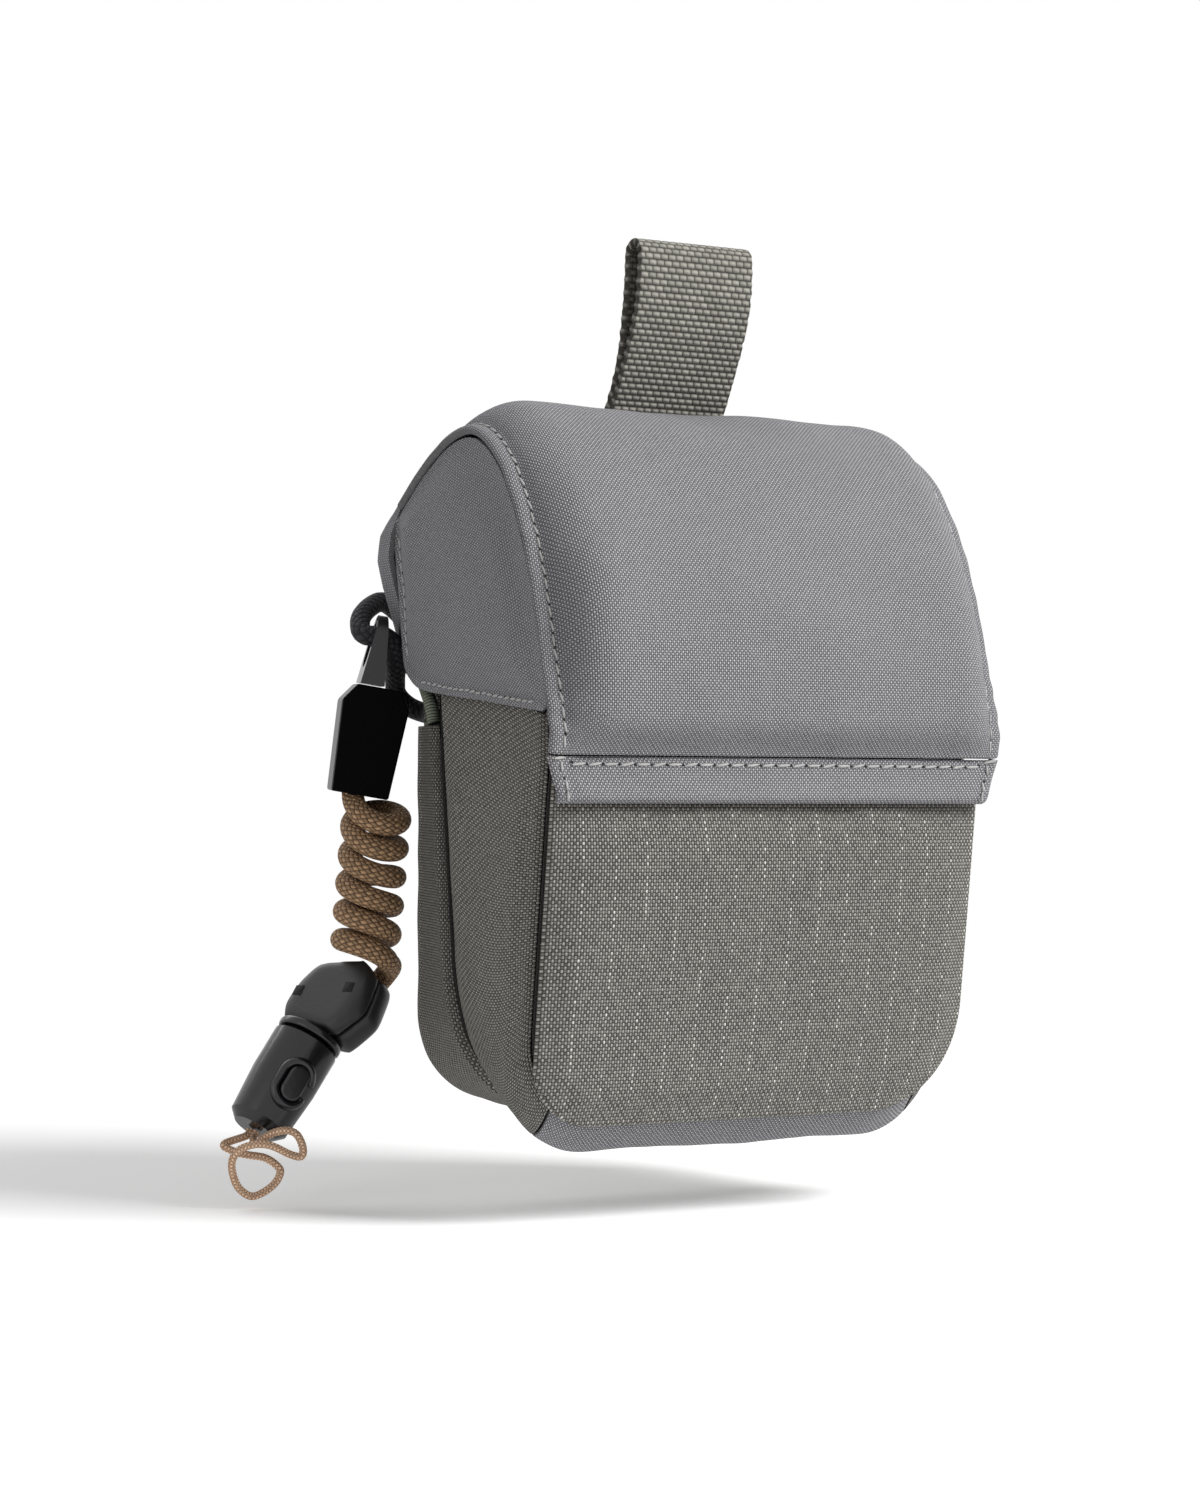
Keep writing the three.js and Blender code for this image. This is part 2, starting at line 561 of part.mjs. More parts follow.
function addBackFittings() {
  // Belt loop: webbing sewn down at both ends that bows out for a belt.
  const inner = BACK_FACE_Y + GAP;
  const outer = LOOP_OUTER_Y;
  const t = LOOP_THICKNESS;
  const bandOutline = outlineOf([
    [inner, LOOP_LOW], [inner + t, LOOP_LOW], [inner + t, LOOP_LOW + LOOP_END],
    [outer, LOOP_LOW + LOOP_END + LOOP_RAMP], [outer, LOOP_HIGH - LOOP_END - LOOP_RAMP],
    [inner + t, LOOP_HIGH - LOOP_END], [inner + t, LOOP_HIGH], [inner, LOOP_HIGH],
    [inner, LOOP_HIGH - LOOP_END - LOOP_CREASE],
    [outer - t, LOOP_HIGH - LOOP_END - LOOP_RAMP - LOOP_CREASE],
    [outer - t, LOOP_LOW + LOOP_END + LOOP_RAMP + LOOP_CREASE],
    [inner, LOOP_LOW + LOOP_END + LOOP_CREASE],
  ]);
  add('belt_loop', plateAcross(bandOutline, -LOOP_WIDTH / 2, LOOP_WIDTH / 2), cordura, 0.85);

  // Anchor for the tether: a folded tab on the back and a cord loop that comes round behind the lid.
  const tabBack = inner + ANCHOR_TAB.depth;
  add('anchor_tab', block(ANCHOR_TAB.x0, ANCHOR_TAB.x1, inner, tabBack, ANCHOR_TAB.z0, ANCHOR_TAB.z1),
    darkCloth, 0.9);
  const route = [
    [-31, tabBack + GAP, 82], [-31, tabBack + 3.2, 82.4], [-32.8, 72, 86], [-35.6, 73.4, 92],
    [-38.5, 73.8, 98], [-41.8, 74.2, 102.4], [-45.4, 73.7, 104.4], [-48.9, 71.9, 103.3],
    [-52.1, 69.3, 100.9], [-53.3, 66.9, 98.4], [-52.9, 65.4, 97.2], [-51.5, 64.5, 97],
    [-49.7, 63.5, 96.8], [-47.6, 63.7, 95.2], [-46, 65.9, 92.2], [-44.5, 69.7, 88.6],
    [-43.3, 71.4, 85.8], [-41, 70.6, 83.4], [-38.3, tabBack + 3.4, 82.1], [-38, tabBack + GAP, 82],
  ].map((p) => new THREE.Vector3(...p));
  add('tether_anchor_cord', curveTube(route, ANCHOR_CORD_RADIUS, 8, 44), 0x17171a, 0.8);
}

function addShockCords() {
  for (const [side, sign] of [['left', -1], ['right', 1]]) {
    const x = sign * (BODY_HALF_WIDTH - SHOCK_CORD_RADIUS - GAP);
    const points = [[51, 2 * GAP], [52.6, 4.4], [56, 9], [58, 13]]
      .map(([y, up]) => new THREE.Vector3(x, y, REAR_SIDE_TOP + up));
    add(`shock_cord_${side}`, curveTube(points, SHOCK_CORD_RADIUS, 8, 8), 0x6d7263, 0.8);
  }
}

// Lid

// The lid's section, measured back and up from the hinge.
const fromHinge = ([y, z]) => new THREE.Vector2(HINGE_Y + y, HINGE_Z + z);
const LID_PROFILE = new THREE.SplineCurve([
  [0, GAP], [-2.1, 6], [-2.9, 13], [-2.5, 20], [-0.9, 27.4], [2.1, 34.6], [6.5, 41.8], [11.5, 49],
  [17, 55.6], [22.9, 60.8], [29.5, 64.3], [36.5, 65.4], [44.5, 64.2], [52.5, 61.2], [60.5, 57.1],
  [67, 53],
].map(fromHinge));

// A point on the lid's section, pushed out by the given distance.
function lidPoint(x, v, out) {
  const p = LID_PROFILE.getPointAt(clamp01(v));
  const t = LID_PROFILE.getTangentAt(clamp01(v));
  return new THREE.Vector3(x, p.x - t.y * out, p.y + t.x * out);
}

// Columns across the lid by their distance from its side, closer together at the stitched margin.
const PUFF_START = LID_MARGIN + LID_PUFF_RISE;
const FROM_SIDE = [0, LID_MARGIN, LID_MARGIN + LID_PUFF_RISE / 2, PUFF_START,
  ...[0.25, 0.5, 0.75, 1].map((share) => lerp(PUFF_START, LID_HALF_WIDTH, share))];
const LID_COLUMNS = 2 * (FROM_SIDE.length - 1);

function acrossLid(u) {
  const fromMiddle = Math.round(Math.abs(2 * u - 1) * (LID_COLUMNS / 2));
  const x = LID_HALF_WIDTH - FROM_SIDE[LID_COLUMNS / 2 - fromMiddle];
  return u < 0.5 ? -x : x;
}

// The value at t of a table of [t, value] rows.
function valueAt(table, t) {
  const k = Math.max(1, table.findIndex(([limit]) => t <= limit));
  const [low, from] = table[k - 1];
  const [high, to] = table[k];
  return lerp(from, to, clamp01((t - low) / (high - low)));
}

// How far the lid's outer face stands out from its section.
function lidPuff(x, v) {
  const across = smooth(LID_HALF_WIDTH - Math.abs(x), LID_MARGIN, PUFF_START);
  const puff = LID_PUFF * smooth(v, 0, 0.12) * (1 - smooth(v, 0.9, 1));
  return lerp(-valueAt(LID_SET_BACK, clamp01(v)), puff, across);
}

function lidLayer(xAt, columns, outerDepth, thick, v0 = 0, v1 = 1) {
  const face = (depth) => (u, v) => {
    const x = xAt(u);
    const along = lerp(v0, v1, v);
    return lidPoint(x, along, lidPuff(x, along) - depth);
  };
  return sheet(columns, LID_ROWS, face(outerDepth), face(outerDepth + thick));
}

// Section of the rear flap, from its seam on the main panel back and down to its lower edge.
const FLAP_REACH = FLAP_OUTER_Y - HINGE_Y;
const FLAP_PROFILE = new THREE.SplineCurve([
  [67.8, 52.6], [FLAP_REACH - 5.2, 51.3], [FLAP_REACH - 2.3, 48.6], [FLAP_REACH - 0.6, 44.5],
  [FLAP_REACH, 39], [FLAP_REACH, 31], [FLAP_REACH, 23], [FLAP_REACH, FLAP_BOTTOM - HINGE_Z],
].map(fromHinge));

// The flap's rounded lower corners: height over its lower edge, and how much narrower it is there.
const FLAP_EDGE = [[0, 10.3], [3, 6.9], [8, 4.2], [13, 3], [19, 1.2], [24, 0], [42, 0]];
const flapHalfAt = (z) => FLAP_HALF_WIDTH - valueAt(FLAP_EDGE, z - FLAP_BOTTOM);

// A point on the flap; its sides turn forward round the wings' rear edges.
function flapPoint(u, v, depth) {
  const p = FLAP_PROFILE.getPointAt(v);
  const t = FLAP_PROFILE.getTangentAt(v);
  const y = p.x + t.y * depth;
  const z = p.y - t.x * depth;
  const half = flapHalfAt(p.y);
  const wrap = smooth(p.y, FLAP_BOTTOM + 1, FLAP_BOTTOM + 16) *
    (1 - smooth(p.y, HINGE_Z + 42.5, HINGE_Z + 49));
  const side = Math.abs(2 * u - 1);
  const sign = u < 0.5 ? -1 : 1;
  const flatShare = 0.7;
  const flatHalf = half - FLAP_CORNER;
  if (side <= flatShare) return new THREE.Vector3(sign * (side / flatShare) * flatHalf, y, z);
  const q = (side - flatShare) / (1 - flatShare);
  const cornerShare = 0.6;
  const turn = clamp01(q / cornerShare) * (Math.PI / 2);
  const round = FLAP_CORNER - depth;
  const straight = clamp01((q - cornerShare) / (1 - cornerShare)) * FLAP_RETURN;
  const x = half - FLAP_CORNER + lerp(FLAP_CORNER * q, round * Math.sin(turn), wrap);
  return new THREE.Vector3(sign * x, y - wrap * (round * (1 - Math.cos(turn)) + straight), z);
}

function addLid() {
  add('lid_main_panel', lidLayer(acrossLid, LID_COLUMNS, 0, LID_SHELL), softshell, 0.8);
  const acrossFoam = (u) => (2 * u - 1) * (LID_HALF_WIDTH - PUFF_START);
  const liningHalf = LID_HALF_WIDTH - LID_MARGIN - 2 * GAP;
  const acrossLining = (u) => THREE.MathUtils.clamp(acrossLid(u), -liningHalf, liningHalf);
  const foamDepth = LID_SHELL + GAP;
  const liningDepth = foamDepth + LID_FOAM + GAP;
  const inside = [0.004, 0.985]; // stretch of the lid's section that foam and lining cover
  add('lid_foam', lidLayer(acrossFoam, 6, foamDepth, LID_FOAM, ...inside), foam, 0.95);
  add('lid_lining', lidLayer(acrossLining, LID_COLUMNS, liningDepth, LINING, ...inside), darkCloth, 0.9);

  // Wings: flat sides whose upper edge follows the lid's section under the main panel.
  const wingStart = 0.075;
  const wing = [];
  for (let i = 0; i <= LID_ROWS; i++) {
    const v = lerp(wingStart, 1, i / LID_ROWS);
    const p = lidPoint(0, v, -LID_SHELL - 2 * GAP - valueAt(LID_SET_BACK, v));
    wing.push([p.y, p.z]);
  }
  const lowerEdge = [[67.3, 47], [66.8, 40], [65.1, 32], [63.9, 24], [62.5, 18], [59, 15],
    [53.5, 13.6], [43.5, 12.4], [29.5, 11], [13.5, 9.2], [4, 8.2]];
  wing.push(...lowerEdge.map((point) => fromHinge(point).toArray()));
  for (const [side, x0] of [['left', -WING_OUTER], ['right', WING_INNER]]) {
    add(`lid_wing_${side}`, plateAcross(outlineOf(wing), x0, x0 + WING_THICKNESS), softshell, 0.8);
  }

  // Rear flap: hangs behind the back panel, with short returns round the sides.
  add('lid_rear_flap', sheet(20, 14, (u, v) => flapPoint(u, v, 0), (u, v) => flapPoint(u, v, CLOTH)),
    softshell, 0.8);

  const edge = [];
  for (let i = 0; i <= 8; i++) {
    const z = lerp(FLAP_BOTTOM + GAP, FLAP_PAD_TOP, i / 8);
    edge.push([flapHalfAt(z) - FLAP_PAD_INSET, z]);
  }
  const pad = outlineOf([...edge, ...edge.map(([x, z]) => [-x, z]).reverse()]);
  const padRear = FLAP_OUTER_Y - CLOTH - GAP;
  const padFront = padRear - MAGNET_THICKNESS;
  const holes = [-MAGNET_X, MAGNET_X].map((x) =>
    disc(MAGNET_RADIUS + GAP, MAGNET_THICKNESS * 3, x, padFront));
  add('flap_foam', cut(plateUpright(pad, padFront, padRear), ...holes), foam, 0.95);
  for (const [side, x] of [['left', -MAGNET_X], ['right', MAGNET_X]]) {
    const y = padFront + MAGNET_THICKNESS / 2;
    add(`lid_magnet_${side}`, disc(MAGNET_RADIUS, MAGNET_THICKNESS, x, y), 0xb9bcc0, 0.3, 1);
  }
  add('flap_lining', plateUpright(pad, padFront - GAP - FLAP_LINING, padFront - GAP), darkCloth, 0.9);
}

// The pull tab: a loop of webbing, its two layers flat together at the root.
function addPullTab() {
  const steps = 14;
  const loopStart = 0.36; // share of the height where the opening begins
  const rootHalf = TAB_THICKNESS + TAB_LAYER_GAP / 2;
  const middleAt = (s) => TAB_ROOT_Y - TAB_LEAN * (1 - (1 - s) ** 2);
  const halfAt = (s) => lerp(rootHalf, TAB_BOW, smooth(s, 0.25, 0.75));
  const heightAt = (s) => TAB_ROOT_Z + TAB_RISE * s;
  const ring = (shrink, from) => {
    const points = [];
    for (let i = 0; i <= steps; i++) {
      const s = lerp(from, 1, i / steps);
      points.push([middleAt(s) - halfAt(s) + shrink, heightAt(s)]);
    }
    for (let i = 1; i < 8; i++) {
      const turn = Math.PI - (i / 8) * Math.PI;
      points.push([middleAt(1) + (TAB_BOW - shrink) * Math.cos(turn),
        heightAt(1) + (TAB_BOW - shrink) * Math.sin(turn)]);
    }
    for (let i = steps; i >= 0; i--) {
      const s = lerp(from, 1, i / steps);
      points.push([middleAt(s) + halfAt(s) - shrink, heightAt(s)]);
    }
    return points;
  };
  const outline = outlineOf(ring(0, 0).reverse());
  const opening = ring(TAB_THICKNESS, loopStart).map(([y, z]) => new THREE.Vector2(y, z));
  outline.holes.push(new THREE.Path(opening));
  add('pull_tab', plateAcross(outline, -TAB_WIDTH / 2, TAB_WIDTH / 2), 0x77756a, 0.9);
}

// Tether

function addClip() {
  const clip = new THREE.Group();
  clip.rotation.set(0, CLIP_TILT, CLIP_TURN);
  tether.add(clip);

  const stem = new THREE.Shape();
  stem.moveTo(-STEM_HALF_DEPTH, -STEM_LENGTH);
  stem.lineTo(STEM_HALF_DEPTH, -STEM_LENGTH);
  stem.lineTo(STEM_HALF_DEPTH, 0);
  stem.absarc(0, 0, STEM_HALF_DEPTH, 0, Math.PI, false);
  stem.lineTo(-STEM_HALF_DEPTH, -STEM_LENGTH);
  const eye = new THREE.Path();
  eye.moveTo(STEM_HOLE, 0);
  eye.absarc(0, 0, STEM_HOLE, 0, Math.PI, false);
  eye.lineTo(-STEM_HOLE, -STEM_SLOT);
  eye.absarc(0, -STEM_SLOT, STEM_HOLE, Math.PI, 2 * Math.PI, false);
  stem.holes.push(eye);
  const post = plateAcross(stem, 0, 1);
  const places = post.getAttribute('position');
  for (let i = 0; i < places.count; i++) {
    const up = (places.getZ(i) + STEM_LENGTH) / (STEM_LENGTH + STEM_HALF_DEPTH);
    const left = lerp(STEM_LOW.left, STEM_HIGH.left, up);
    const right = lerp(STEM_LOW.right, STEM_HIGH.right, up);
    places.setX(i, lerp(left, right, places.getX(i)));
  }
  post.computeVertexNormals();
  add('clip_stem', post, blackPlastic, 0.5, 0, clip);

  // The clip's cover is a tapered box, open below, that hides the cord's knot.
  const top = -STEM_LENGTH - GAP;
  const bottom = top - CLIP_LENGTH;
  const wt = CLIP_TOP_WIDTH / 2;
  const wb = CLIP_BOTTOM_WIDTH / 2;
  const cover = plateUpright(outlineOf([
    [-wb, bottom], [wb, bottom], [wt, top - CLIP_SHOULDER - 1], [wt - CLIP_SHOULDER, top],
    [-wt + CLIP_SHOULDER, top], [-wt, top - CLIP_SHOULDER - 1],
  ]), -CLIP_DEPTH / 2, CLIP_DEPTH / 2).translate(CLIP_SHIFT, 0, 0);
  const cavityTop = bottom + CLIP_CAVITY;
  const cavity = block(-wb + CLIP_WALL, wb - CLIP_WALL, -CLIP_DEPTH / 2 + CLIP_WALL,
    CLIP_DEPTH / 2 - CLIP_WALL, bottom - 1, cavityTop).translate(CLIP_SHIFT, 0, 0);
  add('clip_cover', cut(cover, cavity), blackPlastic, 0.55, 0, clip);
  const knotHeight = cavityTop - GAP - KNOT_RADIUS;
  const knot = new THREE.SphereGeometry(KNOT_RADIUS, 12, 8).translate(KNOT_SHIFT, 0, knotHeight);
  add('cord_knot', knot, tan, 0.85, 0, clip);
  clip.updateWorldMatrix(true, false);
  const cordTop = new THREE.Vector3(KNOT_SHIFT, 0, knotHeight - KNOT_RADIUS - GAP);
  const straightEnd = cordTop.clone().add(new THREE.Vector3(0, 0, -2 * COIL_CORD_RADIUS));
  return [cordTop, straightEnd].map((p) => tether.worldToLocal(clip.localToWorld(p)));
}

// The least distance between two stretches of the coiled cord that lie one over the other.
function leastGap(points, radius, apart) {
  let least = Infinity;
  for (let i = 0; i < points.length; i++) {
    for (let j = i + apart; j < points.length; j++) {
      least = Math.min(least, points[i].distanceTo(points[j]) - 2 * radius);
    }
  }
  return least;
}

// The coil: each turn is tipped forward and slants to the right, less and less towards the bottom.
function coilPoints() {
  const points = [];
  for (let i = 1; i <= COIL_TURNS * CURL_STEPS; i++) {
    const turns = i / CURL_STEPS;
    const angle = Math.PI + turns * 2 * Math.PI;
    const axis = COIL_TOP.x + (COIL_DRIFT * turns) / COIL_TURNS;
    const tip = COIL_TIP - COIL_TIP_FALL * turns;
    points.push(new THREE.Vector3(
      axis + COIL_RADIUS * Math.cos(angle),
      COIL_TOP.y + COIL_RADIUS * Math.sin(angle),
      COIL_TOP.z - COIL_PITCH * turns - COIL_SLANT * Math.cos(angle) + tip * Math.sin(angle)));
  }
  return points;
}

function addCoil([cordTop, straightEnd]) {
  const socket = SOCKET.clone();
  const tail = [[3.2, 2.6, -65.2], [2.1, 4.2, -66.8], [0.4, 3.6, -68.8]];
  const lead = socket.clone().add(new THREE.Vector3(0, 0, 2 * COIL_CORD_RADIUS));
  const points = [
    cordTop, straightEnd, new THREE.Vector3(-3.8, -1.2, -32.6),
    ...coilPoints(),
    ...tail.map((p) => new THREE.Vector3(...p)),
    ...[lead, socket].map((p) => tether.worldToLocal(connector.localToWorld(p))),
  ];
  const gap = leastGap(points, COIL_CORD_RADIUS, CURL_STEPS - 2);
  console.log('coiled cord: least gap to itself', gap.toFixed(2), 'mm');
  add('coil_cord', tubeThrough(points, COIL_CORD_RADIUS, CURL_SIDES), tan, 0.85, 0, tether);
}

// A shell between outlines with the same number of points, each at its own depth.
function shellThrough(rings) {
  const positions = [];
  const index = [];
  const count = rings[0].outline.length;
  for (const { outline, depth } of rings) {
    for (const [x, z] of outline) positions.push(x, depth, z);
  }
  for (let r = 0; r + 1 < rings.length; r++) {
    for (let k = 0; k < count; k++) {
      const a = r * count + k;
      const b = r * count + ((k + 1) % count);
      index.push(a, b, b + count, a, b + count, a + count);
    }
  }
  const last = (rings.length - 1) * count;
  for (let k = 1; k + 1 < count; k++) {
    index.push(0, k + 1, k);
    index.push(last, last + k, last + k + 1);
  }
  return closedGeometry(positions, index);
}

function addConnector() {
  // Two moulded shells meet in one plane; the cord ends in a pocket of the rear one.
  const seat = COLLAR_LENGTH + GAP;
  const middle = 9;
  const ring = (outline, shrink = 1) =>
    outline.map(([x, z]) => [x * shrink, Math.max(middle + (z - middle) * shrink, seat)]);
  const bore = new THREE.CylinderGeometry(STUB_RADIUS + GAP, STUB_RADIUS + GAP, STUB_LENGTH * 2 + 1, 16)
    .rotateX(Math.PI / 2).translate(0, 0, seat);
  const reach = COIL_CORD_RADIUS + 0.6;
  const pocket = block(SOCKET.x - reach, SOCKET.x + reach, SOCKET.y - reach, REAR_DEPTH + 1,
    SOCKET.z - GAP, 24);
  const front = shellThrough([
    { outline: ring(FACE_OUTLINE), depth: FACE_DEPTH },
    { outline: ring(SIDE_OUTLINE), depth: -GAP / 2 },
  ]);
  const rear = shellThrough([
    { outline: ring(SIDE_OUTLINE), depth: GAP / 2 },
    { outline: ring(SIDE_OUTLINE), depth: SIDE_DEPTH },
    { outline: ring(SIDE_OUTLINE, REAR_SHRINK), depth: REAR_DEPTH },
  ]);
  add('connector_front_shell', cut(front, bore), blackPlastic, 0.45, 0, connector);
  add('connector_rear_shell', cut(rear, bore, pocket), blackPlastic, 0.45, 0, connector);

  // The swivel turns in the housing and plugs into the barrel.
  const swivel = new THREE.LatheGeometry([
    [0, -POST_LENGTH], [POST_RADIUS - 0.8, -POST_LENGTH], [POST_RADIUS, -POST_LENGTH + 1],
    [POST_RADIUS, 0], [COLLAR_RADIUS, 0], [COLLAR_RADIUS, COLLAR_LENGTH],
    [STUB_RADIUS, COLLAR_LENGTH], [STUB_RADIUS, COLLAR_LENGTH + STUB_LENGTH],
    [0, COLLAR_LENGTH + STUB_LENGTH],
  ].map(([r, z]) => new THREE.Vector2(r, z)), 24).rotateX(Math.PI / 2);
  add('swivel_post', swivel, blackPlastic, 0.4, 0, connector);

  // The barrel slides off the post while its button is pressed.
  const top = -GAP;
  const end = top - BARREL_LENGTH;
  const boreRadius = POST_RADIUS + BARREL_BORE_FIT;
  const boreEnd = -POST_LENGTH - 1;
  const barrel = new THREE.LatheGeometry([
    [0, end], [BARREL_END_RADIUS - 1.6, end], [BARREL_END_RADIUS, end + 1.6],
    [COLLAR_RADIUS, end + 11], [COLLAR_RADIUS, top - 0.6], [COLLAR_RADIUS - 0.6, top],
    [boreRadius, top], [boreRadius, boreEnd], [0, boreEnd],
  ].map(([r, z]) => new THREE.Vector2(r, z)), 28).rotateX(Math.PI / 2);
  const button = (grow, inner, outer) => {
    const outline = new THREE.Shape();
    const r = BUTTON_WIDTH / 2 + grow;
    const run = (BUTTON_LENGTH - BUTTON_WIDTH) / 2;
    outline.absarc(0, run, r, 0, Math.PI, false);
    outline.absarc(0, -run, r, Math.PI, 2 * Math.PI, false);
    const geometry = plateUpright(outline, -outer, -inner);
    return geometry.translate(0, 0, top - BUTTON_PLACE).rotateZ(BUTTON_TURN);
  };
  const floorAt = boreRadius + 0.5;
  add('release_barrel', cut(barrel, button(GAP, floorAt, COLLAR_RADIUS + 3)), blackPlastic, 0.3, 0,
    connector);
  add('release_button', button(0, floorAt + BUTTON_TRAVEL + GAP, COLLAR_RADIUS + BUTTON_PROUD),
    blackPlastic, 0.35, 0, connector);
  return end - GAP;
}

// A thin cord loop hangs from the barrel's end; both its ends run out square to the end face.
function addLanyard(endFace) {
  const onFace = (x, z) => tether.worldToLocal(connector.localToWorld(new THREE.Vector3(x, 0, z)));
  const middle = onFace(0, endFace);
  const offsets = [
    [-5.4, -2.4, -2.4], [-3.4, -3.6, -3.6], [-0.6, -4.4, -4.2], [2.7, -4.8, -4.7], [5, -4.8, -6.2],
    [5.6, -4.4, -7.6], [4.4, -4, -9.8], [1.9, -4, -11.6], [-0.2, -4.4, -12], [-2.3, -5.4, -10.2],
    [-3.3, -6.4, -7.2], [-3.1, -7.2, -4.6], [-1.5, -7.7, -2.7], [1.5, -7.9, -1.8], [4.4, -7.5, -2.2],
    [7.7, -6.4, -3.9], [9.7, -6.1, -4.3], [10.1, -6.4, -2.7], [9.1, -7, -0.2], [7.3, -7.1, 0.7],
    [4.8, -6.5, 0.3], [2.6, -5.4, -0.9], [0.9, -3.6, -2.2],
  ];
  const route = [
    onFace(-0.9, endFace), onFace(-0.9, endFace - 2 * LANYARD_RADIUS),
    ...offsets.map((p) => middle.clone().add(new THREE.Vector3(...p))),
    onFace(0.9, endFace - 2 * LANYARD_RADIUS), onFace(0.9, endFace),
  ];
  add('lanyard_loop', curveTube(route, LANYARD_RADIUS, 8, 64), 0xa98b78, 0.85, 0, tether);
}

addFront();
addSides();
addBack();
addTrim();
addHem();
addBackFittings();
addShockCords();
addLid();
addPullTab();
pouch.updateMatrixWorld(true);
addCoil(addClip());
addLanyard(addConnector());

// The finished part stands with its origin on the belt loop's outer face.
const part = new THREE.Group();
pouch.position.set(0, -LOOP_OUTER_Y, -(LOOP_LOW + LOOP_HIGH) / 2);
part.add(pouch);

export default part;
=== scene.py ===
import bisect
import math

import bmesh
import bpy
from mathutils import Matrix, Vector, noise
from mathutils.bvhtree import BVHTree


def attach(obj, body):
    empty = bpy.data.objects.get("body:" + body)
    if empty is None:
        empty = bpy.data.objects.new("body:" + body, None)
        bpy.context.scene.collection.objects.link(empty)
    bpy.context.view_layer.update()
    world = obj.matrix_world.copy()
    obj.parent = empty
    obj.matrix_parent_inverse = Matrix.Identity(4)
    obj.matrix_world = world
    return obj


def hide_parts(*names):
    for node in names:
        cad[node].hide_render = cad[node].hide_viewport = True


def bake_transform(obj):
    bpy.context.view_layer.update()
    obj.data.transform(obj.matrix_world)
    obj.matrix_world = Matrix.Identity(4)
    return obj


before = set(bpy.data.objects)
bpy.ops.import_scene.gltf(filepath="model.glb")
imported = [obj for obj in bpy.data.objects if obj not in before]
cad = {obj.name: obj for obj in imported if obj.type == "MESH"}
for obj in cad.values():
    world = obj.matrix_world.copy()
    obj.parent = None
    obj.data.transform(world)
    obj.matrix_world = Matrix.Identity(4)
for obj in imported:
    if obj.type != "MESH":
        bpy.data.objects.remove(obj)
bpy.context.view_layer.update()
scene = bpy.context.scene

# The camera stands low in front of the pouch and a little to its left, and looks up by about one
# degree. On the picture's long side of 1500 pixels, its lens has a focal length of 3000 pixels.
camera = bpy.data.objects.new("camera", bpy.data.cameras.new("camera"))
camera.data.lens = 72
camera.data.sensor_width = 36
camera.location = (-0.2941, -0.5469, 0.0055)
camera.rotation_euler = (math.radians(90 + 1.165), 0, math.radians(-28.5))
scene.collection.objects.link(camera)
scene.camera = camera

# The tether's anchor is a loop of black braided cord, 4 mm thick. Both its ends are sewn into the
# tab on the pouch's back, and it comes round behind the lid and through the clip's eye.
MM = 0.001


def bench(x, y, z):
    """A place given in millimetres from the front seam at the lid's fold and the lowest line."""
    return Vector((x, y - 71.2, z - 57)) * MM


def smooth_line(knots, steps):
    """A smooth line through the knots, with so many steps from each to the next."""
    line = []
    for i in range(len(knots) - 1):
        before, start, end = knots[max(i - 1, 0)], knots[i], knots[i + 1]
        after = knots[min(i + 2, len(knots) - 1)]
        for k in range(steps):
            t = k / steps
            bend = (end - before) * t + (2 * before - 5 * start + 4 * end - after) * t * t
            line.append(start + (bend + (3 * start - before - 3 * end + after) * t ** 3) / 2)
    return line + [knots[-1]]


def runs_of(line, span=lambda a, b: (b - a).length):
    """How far along the line each of its points lies."""
    runs = [0.0]
    for a, b in zip(line, line[1:]):
        runs.append(runs[-1] + span(a, b))
    return runs


def length_of(line):
    return runs_of(line)[-1]


def piece_from(shape, name, finish):
    """The bmesh becomes a smooth-shaded object of that name."""
    mesh = bpy.data.meshes.new(name)
    shape.to_mesh(mesh)
    shape.free()
    mesh.shade_smooth()
    mesh.materials.append(finish)
    piece = bpy.data.objects.new(name, mesh)
    scene.collection.objects.link(piece)
    return piece


def dress(piece, body, slot, *stands_for):
    """The piece moves with a body and stands for frame nodes; its slot is not used."""
    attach(piece, body)
    if stands_for:
        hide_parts(*stands_for)
    return piece


def rope(name, line, radius, sides, finish):
    """A round cord along a line; its UV runs along it in metres and once round it."""
    last = len(line) - 1
    tangents = [(line[min(i + 1, last)] - line[max(i - 1, 0)]).normalized()
                for i in range(len(line))]
    side = tangents[0].orthogonal().normalized()
    rings = []
    for point, tangent in zip(line, tangents):
        side = (side - tangent * side.dot(tangent)).normalized()
        rings.append((point, side.copy(), tangent.cross(side)))
    runs = runs_of(line)
    shape = bmesh.new()
    bmesh.ops.create_grid(shape, x_segments=last, y_segments=sides, size=0.5)
    wrap = shape.loops.layers.uv.new("cloth")
    for corner in [loop for face in shape.faces for loop in face.loops]:
        i = round((corner.vert.co.x + 0.5) * last)
        corner[wrap].uv = (runs[i], corner.vert.co.y + 0.5)
    for vert in shape.verts:
        point, across, up = rings[round((vert.co.x + 0.5) * last)]
        turn = (vert.co.y + 0.5) * 2 * math.pi
        vert.co = point + (across * math.cos(turn) + up * math.sin(turn)) * radius
    bmesh.ops.remove_doubles(shape, verts=shape.verts, dist=1e-7)
    bmesh.ops.holes_fill(shape, edges=[e for e in shape.edges if e.is_boundary], sides=0)
    bmesh.ops.recalc_face_normals(shape, faces=shape.faces)
    return piece_from(shape, name, finish)


def put(tree, kind, *values, **settings):
    """Adds a node; its sockets take the values in order, each a number or another's output."""
    made = tree.nodes.new("ShaderNode" + kind)
    for key, value in settings.items():
        setattr(made, key, value)
    for socket, value in zip(made.inputs, values):
        if isinstance(value, bpy.types.NodeSocket):
            tree.links.new(value, socket)
        elif value is not None:
            socket.default_value = value
    return made


